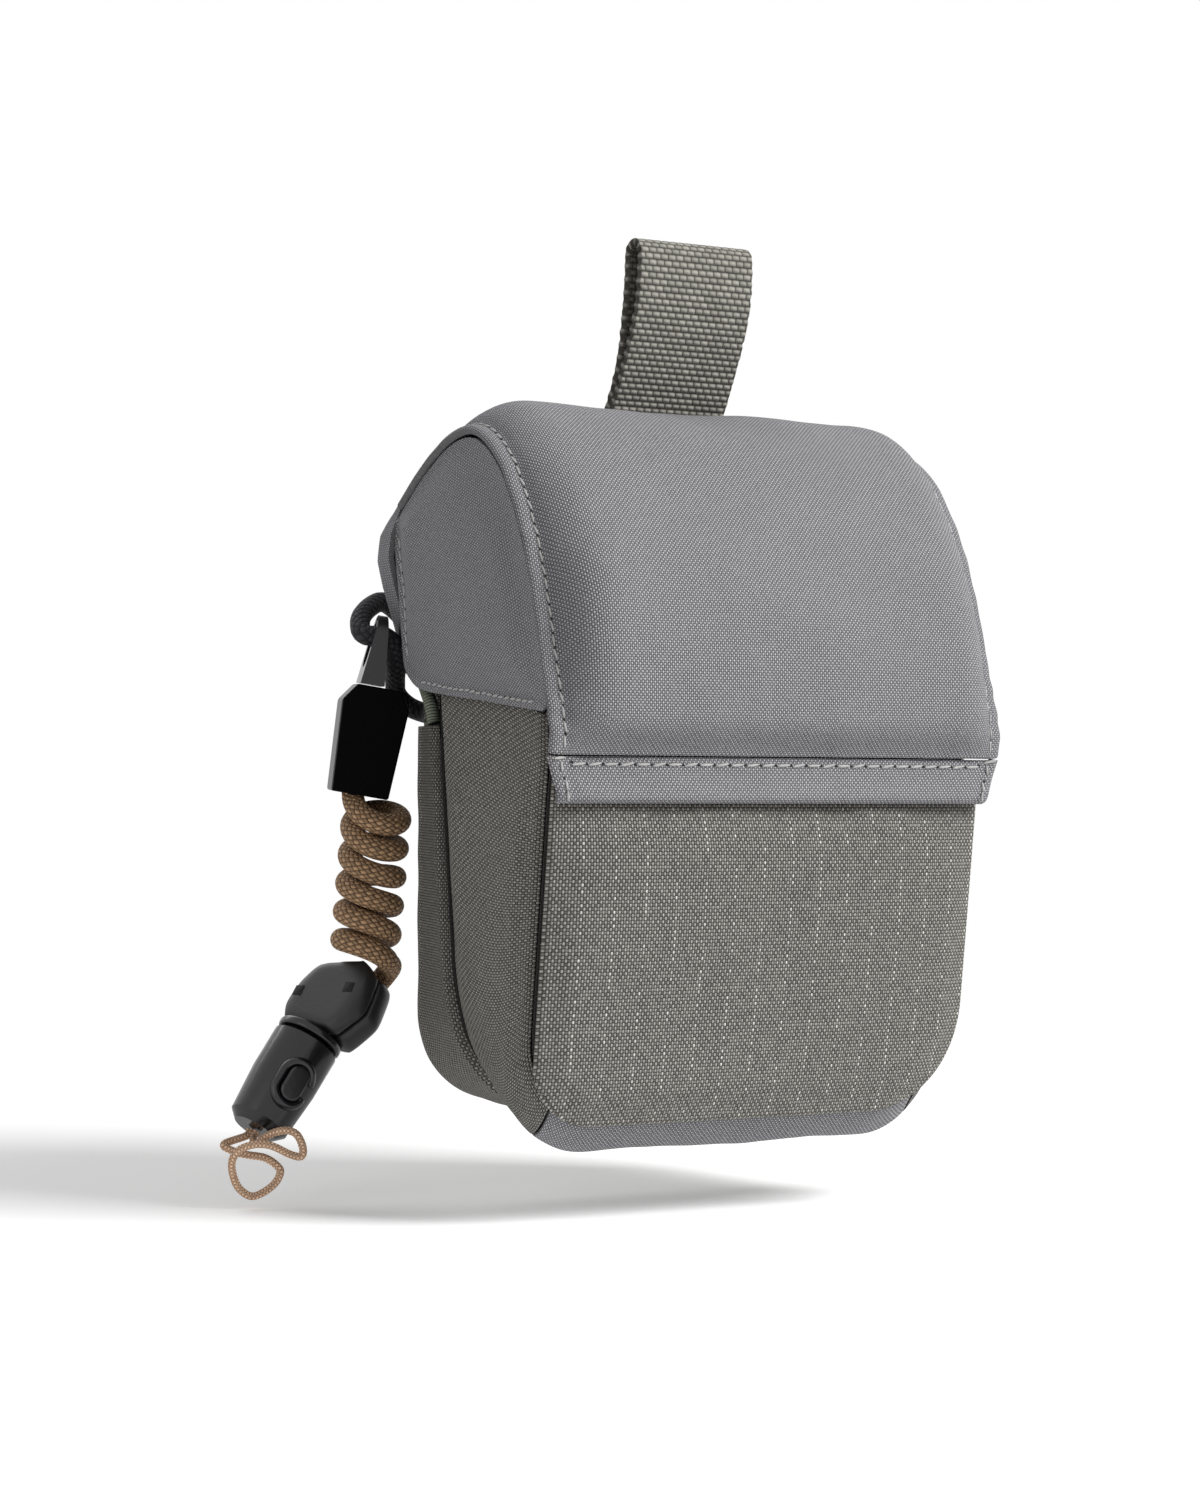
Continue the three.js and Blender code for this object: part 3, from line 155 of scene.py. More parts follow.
def sums(tree, operation, *values):
    return put(tree, "Math", *values, operation=operation).outputs[0]


def mixed(tree, factor, first, second, blend="MIX"):
    """One colour over another by a factor."""
    made = tree.nodes.new("ShaderNodeMix")
    made.data_type, made.blend_type = "RGBA", blend
    for socket, value in ((made.inputs[0], factor), (made.inputs[6], first),
                          (made.inputs[7], second)):
        if isinstance(value, bpy.types.NodeSocket):
            tree.links.new(value, socket)
        else:
            socket.default_value = value if isinstance(value, float) else (*value, 1)
    return made.outputs[2]


def effect(name, inputs, outputs):
    """An empty node group with named sockets; gives the tree, its inputs and its output node."""
    tree = bpy.data.node_groups.new(name, "ShaderNodeTree")
    for socket, kind in inputs.items():
        tree.interface.new_socket(socket, in_out="INPUT", socket_type="NodeSocket" + kind)
    for socket in outputs:
        tree.interface.new_socket(socket, in_out="OUTPUT", socket_type="NodeSocketFloat")
    return tree, tree.nodes.new("NodeGroupInput").outputs, tree.nodes.new("NodeGroupOutput")


# Threads that cross over and under each other, one bead for each crossing. Place is counted in
# crossings, Shift staggers each row against the one below it, and Crossed is 0 for plain ribs.
weave, given, result = effect("weave", {"Place": "Vector", "Shift": "Float", "Round": "Float",
                                        "Crossed": "Float"}, ["Height", "Over", "Chance"])
place = put(weave, "SeparateXYZ", given["Place"])
row = sums(weave, "FLOOR", place.outputs[1])
run = sums(weave, "ADD", place.outputs[0], sums(weave, "MULTIPLY", row, given["Shift"]))
column = sums(weave, "FLOOR", run)
half_sum = sums(weave, "MULTIPLY", sums(weave, "ADD", row, column), 0.5)
over = sums(weave, "GREATER_THAN", sums(weave, "FRACT", half_sum), 0.25)
over = sums(weave, "MULTIPLY", over, given["Crossed"])
arches = []
for part in (run, place.outputs[1]):
    arches.append(sums(weave, "SINE", sums(weave, "MULTIPLY", sums(weave, "FRACT", part), math.pi)))
beads = [sums(weave, "MULTIPLY", a, sums(weave, "POWER", b, given["Round"]))
         for a, b in (arches, arches[::-1])]
lifted = sums(weave, "MULTIPLY", over, sums(weave, "SUBTRACT", beads[0], beads[1]))
height = sums(weave, "ADD", beads[1], lifted)
cell = put(weave, "CombineXYZ", column, row)
chance = put(weave, "TexWhiteNoise", cell.outputs[0], noise_dimensions="2D")
for socket, value in zip(result.inputs, (height, over, chance.outputs[0])):
    weave.links.new(value, socket)

# Slow change of tone over a surface, as of wear, dust and uneven dye, about 1 on the average.
uneven, given, result = effect("uneven", {"Place": "Vector", "Scale": "Float", "Amount": "Float"},
                               ["Tone"])
cloudy = put(uneven, "TexNoise", given["Place"], None, given["Scale"], 4.0, 0.6)
centred = sums(uneven, "SUBTRACT", cloudy.outputs[0], 0.5)
tone = sums(uneven, "ADD", sums(uneven, "MULTIPLY", centred, given["Amount"]), 1.0)
uneven.links.new(tone, result.inputs[0])


def use(tree, group, **values):
    """Places an effect in a material and gives its outputs."""
    made = tree.nodes.new("ShaderNodeGroup")
    made.node_tree = group
    for key, value in values.items():
        if isinstance(value, bpy.types.NodeSocket):
            tree.links.new(value, made.inputs[key])
        else:
            made.inputs[key].default_value = value
    return made.outputs


def plain(name, roughness, **sockets):
    """A material with the given constant values; gives it, its tree and its shader."""
    made = bpy.data.materials.new(name)
    made.use_nodes = True
    shader = made.node_tree.nodes["Principled BSDF"]
    shader.inputs["Roughness"].default_value = roughness
    for key, value in sockets.items():
        shader.inputs[key.replace("_", " ")].default_value = value
    return made, made.node_tree, shader


def tinted(tree, colour, tone):
    """A colour made lighter or darker by a tone."""
    grey = put(tree, "CombineColor", tone, tone, tone)
    return mixed(tree, 1.0, colour, grey.outputs[0], "MULTIPLY")


def bumped(tree, shader, height, depth):
    bump = put(tree, "Bump", 1.0, depth)
    tree.links.new(height, bump.inputs["Height"])
    tree.links.new(bump.outputs[0], shader.inputs["Normal"])


def grained(name, roughness, size, dark, pale, depth, finest=3.0, rough_grain=0.6, **sockets):
    """A material of two tones mixed by fine noise, which also roughens it."""
    made, tree, shader = plain(name, roughness, **sockets)
    spot = put(tree, "TexCoord").outputs["Object"]
    grain = put(tree, "TexNoise", spot, None, size, finest, rough_grain).outputs[0]
    tree.links.new(mixed(tree, grain, dark, pale), shader.inputs["Base Color"])
    bumped(tree, shader, grain, depth)
    return made


def toned(name, roughness, colour, scale, amount, **sockets):
    """A material of one colour with slow changes; gives it, its tree, its shader and its place."""
    made, tree, shader = plain(name, roughness, **sockets)
    spot = put(tree, "TexCoord").outputs["Object"]
    tone = use(tree, uneven, Place=spot, Scale=scale, Amount=amount)["Tone"]
    tree.links.new(tinted(tree, colour, tone), shader.inputs["Base Color"])
    return made, tree, shader, spot


OFF_ZERO = 500.0


def woven(name, thread, gap_shade, column, row=None, *, depth, shift=0.0, roughness=0.85, patchy=0.14,
          speckle=0.22, bead=0.45, slub=None, around=0, crossed=1.0, crossing_highlight=0.5):
    """Cloth of threads: colours of thread and of the painted shade in the gaps between threads, and
    the crossings' sizes along the UV. Threads that cross over get a painted highlight and those that
    cross under a painted shade, and slub says how many threads lie from each pale one to the next.
    With around, so many strands go round a cord each way."""
    made, tree, shader = plain(name, roughness, Specular_IOR_Level=0.25)
    uv = put(tree, "UVMap", uv_map="cloth").outputs[0]
    parts = put(tree, "SeparateXYZ", uv)
    along, across = parts.outputs[:2]
    if around:
        turns = sums(tree, "MULTIPLY", across, float(around))
        steps = sums(tree, "DIVIDE", along, column)
        counted = (sums(tree, "ADD", steps, turns), sums(tree, "SUBTRACT", steps, turns))
    else:
        counted = (sums(tree, "DIVIDE", along, column), sums(tree, "DIVIDE", across, row))
    crossing = put(tree, "CombineXYZ", *counted)
    threads = use(tree, weave, Place=crossing.outputs[0], Shift=shift, Round=bead, Crossed=crossed)
    spot = put(tree, "TexCoord").outputs["Object"]
    tone = use(tree, uneven, Place=spot, Scale=45.0, Amount=patchy)["Tone"]
    fleck = sums(tree, "MULTIPLY", sums(tree, "SUBTRACT", threads["Chance"], 0.5), speckle)
    # Painted highlight on threads that cross over and painted shade on those that cross under.
    lift = sums(tree, "MULTIPLY", sums(tree, "SUBTRACT", threads["Over"], 0.5), crossing_highlight * crossed)
    tone = sums(tree, "ADD", sums(tree, "ADD", tone, fleck), lift)
    # The gap colour, mixed in where the threads dip, is painted shade between the threads.
    filled = sums(tree, "MINIMUM", sums(tree, "MULTIPLY", threads["Height"], 1.5), 1.0)
    colour = mixed(tree, filled, gap_shade, thread)
    if slub:
        every, pale = slub
        lines = [sums(tree, "LESS_THAN", sums(tree, "MODULO", sums(tree, "FLOOR", n), every), 0.5)
                 for n in (sums(tree, "ADD", part, OFF_ZERO) for part in counted)]
        upright = sums(tree, "MULTIPLY", lines[0], threads["Over"])
        level = sums(tree, "MULTIPLY", sums(tree, "MULTIPLY", lines[1], 0.35),
                     sums(tree, "SUBTRACT", 1.0, threads["Over"]))
        lit = sums(tree, "MULTIPLY", sums(tree, "MAXIMUM", upright, level), threads["Height"])
        worn = put(tree, "MapRange", threads["Chance"], 0.15, 0.7, 0.0, 1.0).outputs[0]
        lit = sums(tree, "MULTIPLY", lit, worn)
        colour = mixed(tree, lit, colour, pale)
    tree.links.new(tinted(tree, colour, tone), shader.inputs["Base Color"])
    bumped(tree, shader, threads["Height"], depth)
    return made


# Each woven cloth gives its thread colour and then its gap colour, which is painted shade between the
# threads.
black_braid = woven("black_braid", (0.035, 0.035, 0.04), (0.004, 0.004, 0.005), 0.0014,
                    around=7, depth=0.00025, roughness=0.7)
ANCHOR_ROUTE = [
    (-31, 65.6, 82), (-31, 68.5, 82.4), (-32.8, 72, 86), (-35.6, 73.4, 92), (-38.5, 73.8, 98),
    (-41.8, 74.2, 102.4), (-45.4, 73.7, 104.4), (-48.9, 71.9, 103.3), (-52.1, 69.3, 100.9),
    (-53.3, 66.9, 98.4), (-52.9, 65.4, 97.2), (-51.5, 64.5, 97), (-49.7, 63.5, 96.8),
    (-47.6, 63.7, 95.2), (-46, 65.9, 92.2), (-44.5, 69.7, 88.6), (-43.3, 71.4, 85.8),
    (-41, 70.6, 83.4), (-38.3, 68.7, 82.1), (-38, 65.6, 82)]
anchor_line = smooth_line([bench(*p) for p in ANCHOR_ROUTE], 8)
ANCHOR_RADIUS = 2
anchor_cord = rope("anchor_cord", anchor_line, ANCHOR_RADIUS * MM, 20, black_braid)
dress(anchor_cord, "root", "anchor_cord", "tether_anchor_cord")
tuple(anchor_line[0])
round(length_of(anchor_line), 3)

# The coiled cord has a tan braid and is a little over 4 mm thick. It is knotted inside the clip's
# cover, hangs in five and a half springy turns, and ends in the connector's rear shell.
tether = Matrix.Translation(bench(-51.5, 64.5, 97)) @ Matrix.Rotation(math.radians(-28.5), 4, "Z")
tether = tether @ Matrix.Scale(MM, 4)
clip = tether @ Matrix.Rotation(math.radians(10), 4, "Y") @ Matrix.Rotation(math.radians(11), 4, "Z")
connector = (tether @ Matrix.Translation((-12.4, -5, -79.3))
             @ Matrix.Rotation(math.radians(30), 4, "Y") @ Matrix.Rotation(math.radians(-24), 4, "X")
             @ Matrix.Rotation(math.radians(-40), 4, "Z"))
COIL_TURNS = 5.5
COIL_STEPS = 16
COIL_RADIUS = 4.7
COIL_PITCH = 5.6
COIL_TOP = -32.6
COIL_CORD = 2.2
tan_braid = woven("tan_braid", (0.44, 0.275, 0.155), (0.085, 0.045, 0.022), 0.0013,
                  around=12, depth=0.0003, roughness=0.7, bead=0.35)


def coil_point(turns):
    """A point of the coil; each turn is tipped and slants less than the one above it."""
    angle = math.pi + 2 * math.pi * turns
    hang = -COIL_PITCH * turns - 0.9 * math.cos(angle) + (2.9 - 0.75 * turns) * math.sin(angle)
    drift = 0.8 - 2.6 * turns / COIL_TURNS
    return tether @ Vector((drift + COIL_RADIUS * math.cos(angle), COIL_RADIUS * math.sin(angle),
                            hang + COIL_TOP))


coil_knots = [clip @ Vector((1.2, 0, height)) for height in (-25.8, -30)]
coil_knots.append(tether @ Vector((-3.8, -1.2, COIL_TOP)))
coil_knots += [coil_point(i / COIL_STEPS) for i in range(2, int(COIL_TURNS * COIL_STEPS) + 1)]
coil_knots += [tether @ Vector(p) for p in ((3.2, 2.6, -65.2), (2.1, 4.2, -66.8), (0.4, 3.6, -68.8))]
coil_knots += [connector @ Vector((3.9, 3.7, height)) for height in (14.5, 10.3)]
coil_line = smooth_line(coil_knots, 5)
coil_cord = rope("coiled_cord", coil_line, COIL_CORD * MM, 24, tan_braid)
dress(coil_cord, "tether", "coil_braid", "coil_cord")

# The lanyard is a loop of thin tan cord, 1.5 mm thick, whose two ends run out of the barrel's end.
# It hangs in one twisted bow and would be threaded through a strap slot on the rangefinder.
lanyard_braid = woven("lanyard_braid", (0.74, 0.5, 0.34), (0.24, 0.14, 0.09), 0.0007,
                      around=5, depth=0.00015, roughness=0.8, bead=0.3, crossing_highlight=0.4)
LANYARD_BOW = [
    (-5.4, -2.4, -2.4), (-3.4, -3.6, -3.6), (-0.6, -4.4, -4.2), (2.7, -4.8, -4.7), (5, -4.8, -6.2),
    (5.6, -4.4, -7.6), (4.4, -4, -9.8), (1.9, -4, -11.6), (-0.2, -4.4, -12), (-2.3, -5.4, -10.2),
    (-3.3, -6.4, -7.2), (-3.1, -7.2, -4.6), (-1.5, -7.7, -2.7), (1.5, -7.9, -1.8),
    (4.4, -7.5, -2.2), (7.7, -6.4, -3.9), (9.7, -6.1, -4.3), (10.1, -6.4, -2.7), (9.1, -7, -0.2),
    (7.3, -7.1, 0.7), (4.8, -6.5, 0.3), (2.6, -5.4, -0.9), (0.9, -3.6, -2.2)]
BARREL_END = -20.8
end_middle = tether.inverted() @ connector @ Vector((0, 0, BARREL_END))
lanyard_knots = [connector @ Vector((-0.9, 0, BARREL_END - drop)) for drop in (0, 1.5)]
lanyard_knots += [tether @ (end_middle + Vector(p)) for p in LANYARD_BOW]
lanyard_knots += [connector @ Vector((0.9, 0, BARREL_END - drop)) for drop in (1.5, 0)]
lanyard_line = smooth_line(lanyard_knots, 8)
LANYARD_RADIUS = 0.75
lanyard = rope("lanyard", lanyard_line, LANYARD_RADIUS * MM, 12, lanyard_braid)
dress(lanyard, "barrel", "lanyard_braid", "lanyard_loop")
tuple(lanyard_line[0])
round(length_of(lanyard_line), 3)

# The front is one padded panel of coarse pack cloth that bulges over the seam. Pale reinforcing
# threads run down it every few millimetres, and its rim is turned into the seam. Its lower left
# corner is tighter than its right one.
SIDES = (("left", -1), ("right", 1))
HALF_WIDTH = 46.4
SEAM_LIFT = 5
FOLD_Z = 72
FRONT_TOP = FOLD_Z - 0.7
PANEL_CORNERS = (12, 21)
FRONT_CORNER = 16
REAR_CORNER = 17
SEAM_GAP = 1.2
CLOTH = 1.4
PUFF = 3.6
pack_cloth = woven("pack_cloth", (0.29, 0.281, 0.255), (0.008, 0.0075, 0.006), 0.00051, 0.00062,
                   depth=0.00026, speckle=0.4, crossing_highlight=0.8, slub=(12.0, (0.5, 0.49, 0.455)))
side_cloth = woven("side_cloth", (0.3, 0.29, 0.262), (0.006, 0.0055, 0.005), 0.00053, 0.00064,
                   depth=0.00026, speckle=0.35, crossing_highlight=0.8)
binding = woven("binding", (0.016, 0.015, 0.013), (0.003, 0.003, 0.003), 0.0006, 0.0006,
                depth=0.00012, roughness=0.9)


def clamp(t):
    return min(max(t, 0.0), 1.0)


def lerp(a, b, t):
    return a + (b - a) * t


def ease(t, low, high):
    """A smooth step from 0 at low to 1 at high."""
    t = clamp((t - low) / (high - low))
    return t * t * (3 - 2 * t)


def rounded(distance, radius):
    """How far a rolled rim drops at a distance from its edge."""
    return radius - math.sqrt(max(radius ** 2 - max(radius - distance, 0) ** 2, 0))


def ripple(x, y, z, size, amount):
    """Slow unevenness of sewn cloth."""
    return amount * noise.noise(Vector((x, y, z)) / size)


def front_seam(z):
    return 10 * clamp(1 - z / FOLD_Z)


cut_edge = grained("cut_edge", 0.9, 1600.0, (0.07, 0.069, 0.071), (0.22, 0.217, 0.225), 0.0001)


def cloth(name, columns, rows, place, thickness, finish, uv=None, relief=None,
          inside=bench(0, 30, 55), edge=cut_edge):
    """A sheet of cloth: a grid laid where place(u, v) says, and given its thickness inwards.
    Its UV is the length along the sheet both ways, unless uv gives the two for a place."""
    across = runs_of([place(i / columns, 0.5) for i in range(columns + 1)])
    down = runs_of([place(0.5, i / rows) for i in range(rows + 1)])
    shape = bmesh.new()
    bmesh.ops.create_grid(shape, x_segments=columns, y_segments=rows, size=0.5)
    wrap = shape.loops.layers.uv.new("cloth")
    spread = {}
    for vert in shape.verts:
        u, v = vert.co.x + 0.5, vert.co.y + 0.5
        vert.co = place(u, v)
        flat = (across[round(u * columns)], down[round(v * rows)])
        spread[vert] = uv(vert.co) if uv else flat
    for corner in [loop for face in shape.faces for loop in face.loops]:
        corner[wrap].uv = spread[corner.vert]
    shape.normal_update()
    facing = sum((face.calc_center_median() - inside).dot(face.normal) for face in shape.faces)
    if facing < 0:
        bmesh.ops.reverse_faces(shape, faces=shape.faces)
        shape.normal_update()
    if relief:
        moves = [(vert, vert.normal * relief(*spread[vert])) for vert in shape.verts]
        for vert, move in moves:
            vert.co += move
    sheet = piece_from(shape, name, finish)
    wall = sheet.modifiers.new("thickness", "SOLIDIFY")
    wall.thickness, wall.offset = thickness * MM, -1
    wall.material_offset_rim = 1
    sheet.data.materials.append(edge)
    rim = sheet.modifiers.new("rim", "BEVEL")
    rim.width, rim.segments, rim.angle_limit = min(0.45, thickness * 0.4) * MM, 2, math.radians(60)
    return sheet


def half_width(z, radius):
    """Half the front panel's width at a height, with round lower corners."""
    into = radius - min(radius, max(0, z - SEAM_LIFT))
    return HALF_WIDTH - radius + math.sqrt(radius ** 2 - into ** 2)


def from_rim(x, z, radius):
    """Distance from the front panel's sides, its lower edge and its round corners."""
    dx, dz = abs(x) - (HALF_WIDTH - radius), SEAM_LIFT + radius - z
    if dx > 0 and dz > 0:
        return radius - math.hypot(dx, dz)
    return min(HALF_WIDTH - abs(x), z - SEAM_LIFT)


def front_puff(x, z):
    across = max(0, 1 - (x / HALF_WIDTH) ** 4)
    up = math.sin(math.pi * clamp(0.12 + 0.88 * (z - SEAM_LIFT) / (FOLD_Z + 12))) ** 0.7
    return PUFF * across * up * (1 - 0.75 * ease(z, FOLD_Z - 18, FOLD_Z - 4))


def front_face(u, v):
    z = lerp(SEAM_LIFT, FRONT_TOP, v ** 1.35)
    corner = PANEL_CORNERS[u > 0.5]
    x = (2 * u - 1) * half_width(z, corner)
    rim = from_rim(x, z, corner)
    out = CLOTH + front_puff(x, z) + 1.5 * ease(rim, 0, 7) * (1 - ease(z, 52, 66))
    sag = ripple(x, 0, z, 16, 0.5) + ripple(x, 7, z, 5, 0.12)
    return bench(x, front_seam(z) - SEAM_GAP - out - sag * ease(rim, 0, 5) + rounded(rim, 0.7), z)


front = cloth("front_cloth", 150, 120, front_face, CLOTH - 0.3, pack_cloth,
              uv=lambda p: (p.x, p.z), edge=binding)
dress(front, "root", "pack_cloth", "front_panel")

# The side strips are the same cloth over foam, sewn between the front seam and the rear seam. They
# widen towards the top, and at the lower corners they meet the softshell bottom strip.
JOIN_AT = 0.315
JOIN_GAP = 0.002
FRONT_ALLOWANCE = 0.9
REAR_ALLOWANCE = 0.5
STRIP_TOPS = (80.5, 95)
WALL_SIDE = 0.2
WALL_CORNER = 0.4


def rear_seam(z):
    return 25 + 16 * math.sin(math.pi / 2 * clamp((z - 7) / 31)) + max(0, z - 38) * 0.13


def wall_point(q, inset, top, bottom, corner):
    """x and z on the U of the side wall, from the left top by way of the bottom to the right."""
    if q > 0.5:
        x, z = wall_point(1 - q, inset, top, bottom, corner)
        return -x, z
    half, radius, low = HALF_WIDTH - inset, corner - inset, bottom + inset
    if q <= WALL_SIDE:
        return -half, lerp(top, low + radius, q / WALL_SIDE)
    if q <= WALL_CORNER:
        turn = (q - WALL_SIDE) / (WALL_CORNER - WALL_SIDE) * math.pi / 2
        return -half + radius - radius * math.cos(turn), low + radius - radius * math.sin(turn)
    return lerp(-half + radius, 0, (q - WALL_CORNER) / (0.5 - WALL_CORNER)), low


def strip_bottom(v):
    return SEAM_LIFT * (1 - math.sin(math.pi * clamp(v)) ** 0.8)


def strip_top(v):
    return lerp(*STRIP_TOPS, clamp(v) ** 0.8)


def strip_face(q_start, q_end, swell):
    """The outer face of a strip of the side wall, rolled in at both its seams."""
    def place(u, v):
        corner = lerp(FRONT_CORNER, REAR_CORNER, v)
        x, z = wall_point(lerp(q_start, q_end, u), 0, strip_top(v), strip_bottom(v), corner)
        start = front_seam(z) + SEAM_GAP + FRONT_ALLOWANCE
        end = rear_seam(z) - SEAM_GAP - REAR_ALLOWANCE
        y = lerp(start, end, v)
        rim = min(y - start, end - y)
        puff = lerp(0.8, swell, ease(z, SEAM_LIFT, SEAM_LIFT + 20)) * (1 - ease(z, 62, 78))
        out = puff * ease(rim, 0, 6) - rounded(rim, 1.3)
        soft = ease(rim, 0, 3) * (1 - ease(z, 68, 76))
        out += (ripple(x, y, z, 14, 0.5) + ripple(x, y, z, 5, 0.15)) * soft
        centre = Vector((math.copysign(HALF_WIDTH - corner, x), 0, strip_bottom(v) + corner))
        away = Vector((x, 0, z)) - centre
        if z > centre.z:
            away = Vector((x - centre.x, 0, 0))
        elif abs(x) < HALF_WIDTH - corner:
            away = Vector((0, 0, -1))
        away.normalize()
        return bench(x + away.x * out, y, z + away.z * out)
    return place


for side, span in (("left", (0, JOIN_AT - JOIN_GAP)), ("right", (1 - JOIN_AT + JOIN_GAP, 1))):
    strip = cloth("side_strip_" + side, 110, 56, strip_face(*span, 1.6), CLOTH - 0.3, side_cloth,
                  edge=binding)
    dress(strip, "root", "pack_cloth", "gusset_" + side)

# The bottom strip and the whole lid are grey softshell, a smooth cloth with a very fine twill. The
# strip closes the U of the side wall under the pouch.
softshell = woven("softshell", (0.355, 0.352, 0.369), (0.014, 0.0135, 0.015), 0.00042, 0.00046,
                  depth=0.00014, roughness=0.75, patchy=0.12, speckle=0.18, crossing_highlight=0.75)
bottom = cloth("bottom_strip", 100, 40, strip_face(JOIN_AT + JOIN_GAP, 1 - JOIN_AT - JOIN_GAP, 0.8),
               CLOTH - 0.3, softshell)
dress(bottom, "root", "softshell", "bottom_panel")

# The rear side panel is one piece of pack cloth that wraps from the rear seam round the back edge.
# Its seam allowance stands up as a narrow welt beside the seam.
WRAP = math.radians(75)
EDGE = 8
REAR_TOP = 79
BACK_Y = 61


def rear_side_face(u, v):
    bend = clamp((v - 0.5) / 0.5) * WRAP
    inset = EDGE - EDGE * math.cos(bend)
    x, z = wall_point(u, inset, REAR_TOP, SEAM_LIFT + 1.5 * v, REAR_CORNER)
    start = rear_seam(z) + SEAM_GAP
    flat = lerp(start, BACK_Y - EDGE, clamp(v / 0.5))
    welt = 0.7 * ease(flat - start, 0, 0.8) * (1 - ease(flat - start, 1.6, 2.8)) * (v < 0.5)
    out = welt - rounded(flat - start, 1.2) * (v < 0.5) + ripple(x, flat, z, 9, 0.35) * clamp(v * 6)
    middle = Vector((math.copysign(HALF_WIDTH - REAR_CORNER, x), SEAM_LIFT + REAR_CORNER))
    away = Vector((x, z)) - middle if z < middle.y else Vector((x, 0))
    if abs(x) < HALF_WIDTH - REAR_CORNER:
        away = Vector((0, -1))
    away = away.normalized() * out
    return bench(x + away.x, flat + EDGE * math.sin(bend), z + away.y)


rear_side = cloth("rear_side_cloth", 220, 48, rear_side_face, CLOTH - 0.3, side_cloth, edge=binding)
dress(rear_side, "root", "pack_cloth", "rear_side_panel")

# Dark binding tape is folded over the seam allowances, and shows as a thin dark line in both seams.
# It also binds the strips' rims and the top edge of the back.
round_binding = woven("round_binding", (0.016, 0.015, 0.013), (0.003, 0.003, 0.003), 0.0008,
                      around=6, depth=0.00012, roughness=0.9)
TAPE_RADIUS = 0.9
TAPE_OUT = 0.6
SHARP = math.radians(30)


def copied(node, name, finish, rounds=1, edge=0.0):
    """A finer copy of a frame node: merged, its flat triangles joined, its edges rounded."""
    shape = bmesh.new()
    shape.from_mesh(cad[node].data)
    bmesh.ops.remove_doubles(shape, verts=shape.verts, dist=1e-6)
    if edge:
        bmesh.ops.dissolve_limit(shape, angle_limit=math.radians(1), verts=shape.verts,
                                 edges=shape.edges)
        crisp = [e for e in shape.edges if e.calc_face_angle(0) > SHARP]
        bmesh.ops.bevel(shape, geom=crisp, offset=edge * MM, offset_type="OFFSET", affect="EDGES",
                        segments=3, profile=0.5, material=-1, clamp_overlap=True)
    else:
        bmesh.ops.join_triangles(shape, faces=shape.faces, angle_face_threshold=0.7,
                                 angle_shape_threshold=1.2)
    wrap = shape.loops.layers.uv.new("cloth")
    for face in shape.faces:
        flat = 0 if abs(face.normal.x) > 0.7 else 1
        for corner in face.loops:
            place = corner.vert.co
            corner[wrap].uv = (place.x if flat else place.y,
                               place.z if abs(face.normal.z) < 0.7 else place.y)
    piece = piece_from(shape, name, finish)
    if rounds and not edge:
        soft = piece.modifiers.new("soft", "SUBSURF")
        soft.levels = soft.render_levels = rounds
    if edge:
        piece.modifiers.new("shading", "WEIGHTED_NORMAL")
    return piece


for side in ("front", "rear"):
    dress(copied(side + "_piping", side + "_tape", binding), "root", "binding", side + "_piping")
for side, sign in SIDES:
    rim_edge = [strip_face(0, 0.3, 0)(0, i / 30) for i in range(31)]
    rim_edge = [Vector((sign * (TAPE_OUT * MM - p.x), p.y, p.z)) for p in rim_edge]
    tape = rope("rim_tape_" + side, rim_edge, TAPE_RADIUS * MM, 12, round_binding)
    dress(tape, "root", "binding", "rim_binding_" + side)
dress(copied("back_binding", "back_tape", binding, edge=0.7), "root", "binding", "back_binding")

# The back is a flat panel of the same cloth over foam and a stiff sheet; linings of smooth dark
# cloth close the inside. The foam is dark and closed-celled.
lining_cloth = woven("lining_cloth", (0.075, 0.075, 0.07), (0.02, 0.02, 0.019), 0.0004, 0.0004,
                     depth=0.00006, roughness=0.7)
foam, tree, shader = plain("foam", 0.95)
spot = put(tree, "TexCoord").outputs["Object"]
cells = put(tree, "TexVoronoi", spot, None, 900.0)
tone = use(tree, uneven, Place=spot, Scale=60.0, Amount=0.3)["Tone"]
tree.links.new(tinted(tree, mixed(tree, cells.outputs[0], (0.03, 0.03, 0.03), (0.09, 0.09, 0.09)),
                      tone), shader.inputs["Base Color"])
bumped(tree, shader, cells.outputs[0], 0.0003)

dress(copied("back_panel", "back_cloth", side_cloth, edge=0.5), "root", "pack_cloth", "back_panel")
for node, name in (("front_foam", "front_pad"), ("side_foam", "side_pad"), ("back_foam", "back_pad"),
                   ("lid_foam", "lid_pad"), ("flap_foam", "flap_pad")):
    body = "lid" if node in ("lid_foam", "flap_foam") else "root"
    pad = copied(node, name, foam, edge=0.5 if node in ("back_foam", "flap_foam") else 0)
    dress(pad, body, "foam", node)
for node, name in (("front_lining", "front_inner"), ("side_lining", "side_inner"),
                   ("back_lining", "back_inner"), ("lid_lining", "lid_inner"),
                   ("flap_lining", "flap_inner")):
    body = "lid" if node in ("lid_lining", "flap_lining") else "root"
    dress(copied(node, name, lining_cloth, edge=0.15 if node == "flap_lining" else 0), body,
          "lining", node)

# The stiff sheet and the four plated magnet discs sit inside the back and the flap, where only the
# opened layers would show them.
stiff = grained("stiff_sheet", 0.6, 700.0, (0.02, 0.02, 0.02), (0.05, 0.05, 0.05), 0.0001)
plated = grained("plated_steel", 0.3, 1500.0, (0.5, 0.5, 0.52), (0.66, 0.66, 0.68), 0.00002,
                 finest=2.0, rough_grain=0.5, Metallic=1.0)
for node, finish in (("back_stiffener", stiff), ("body_magnet_left", plated),
                     ("body_magnet_right", plated), ("lid_magnet_left", plated),
                     ("lid_magnet_right", plated)):
    cad[node].data.materials.clear()
    cad[node].data.materials.append(finish)

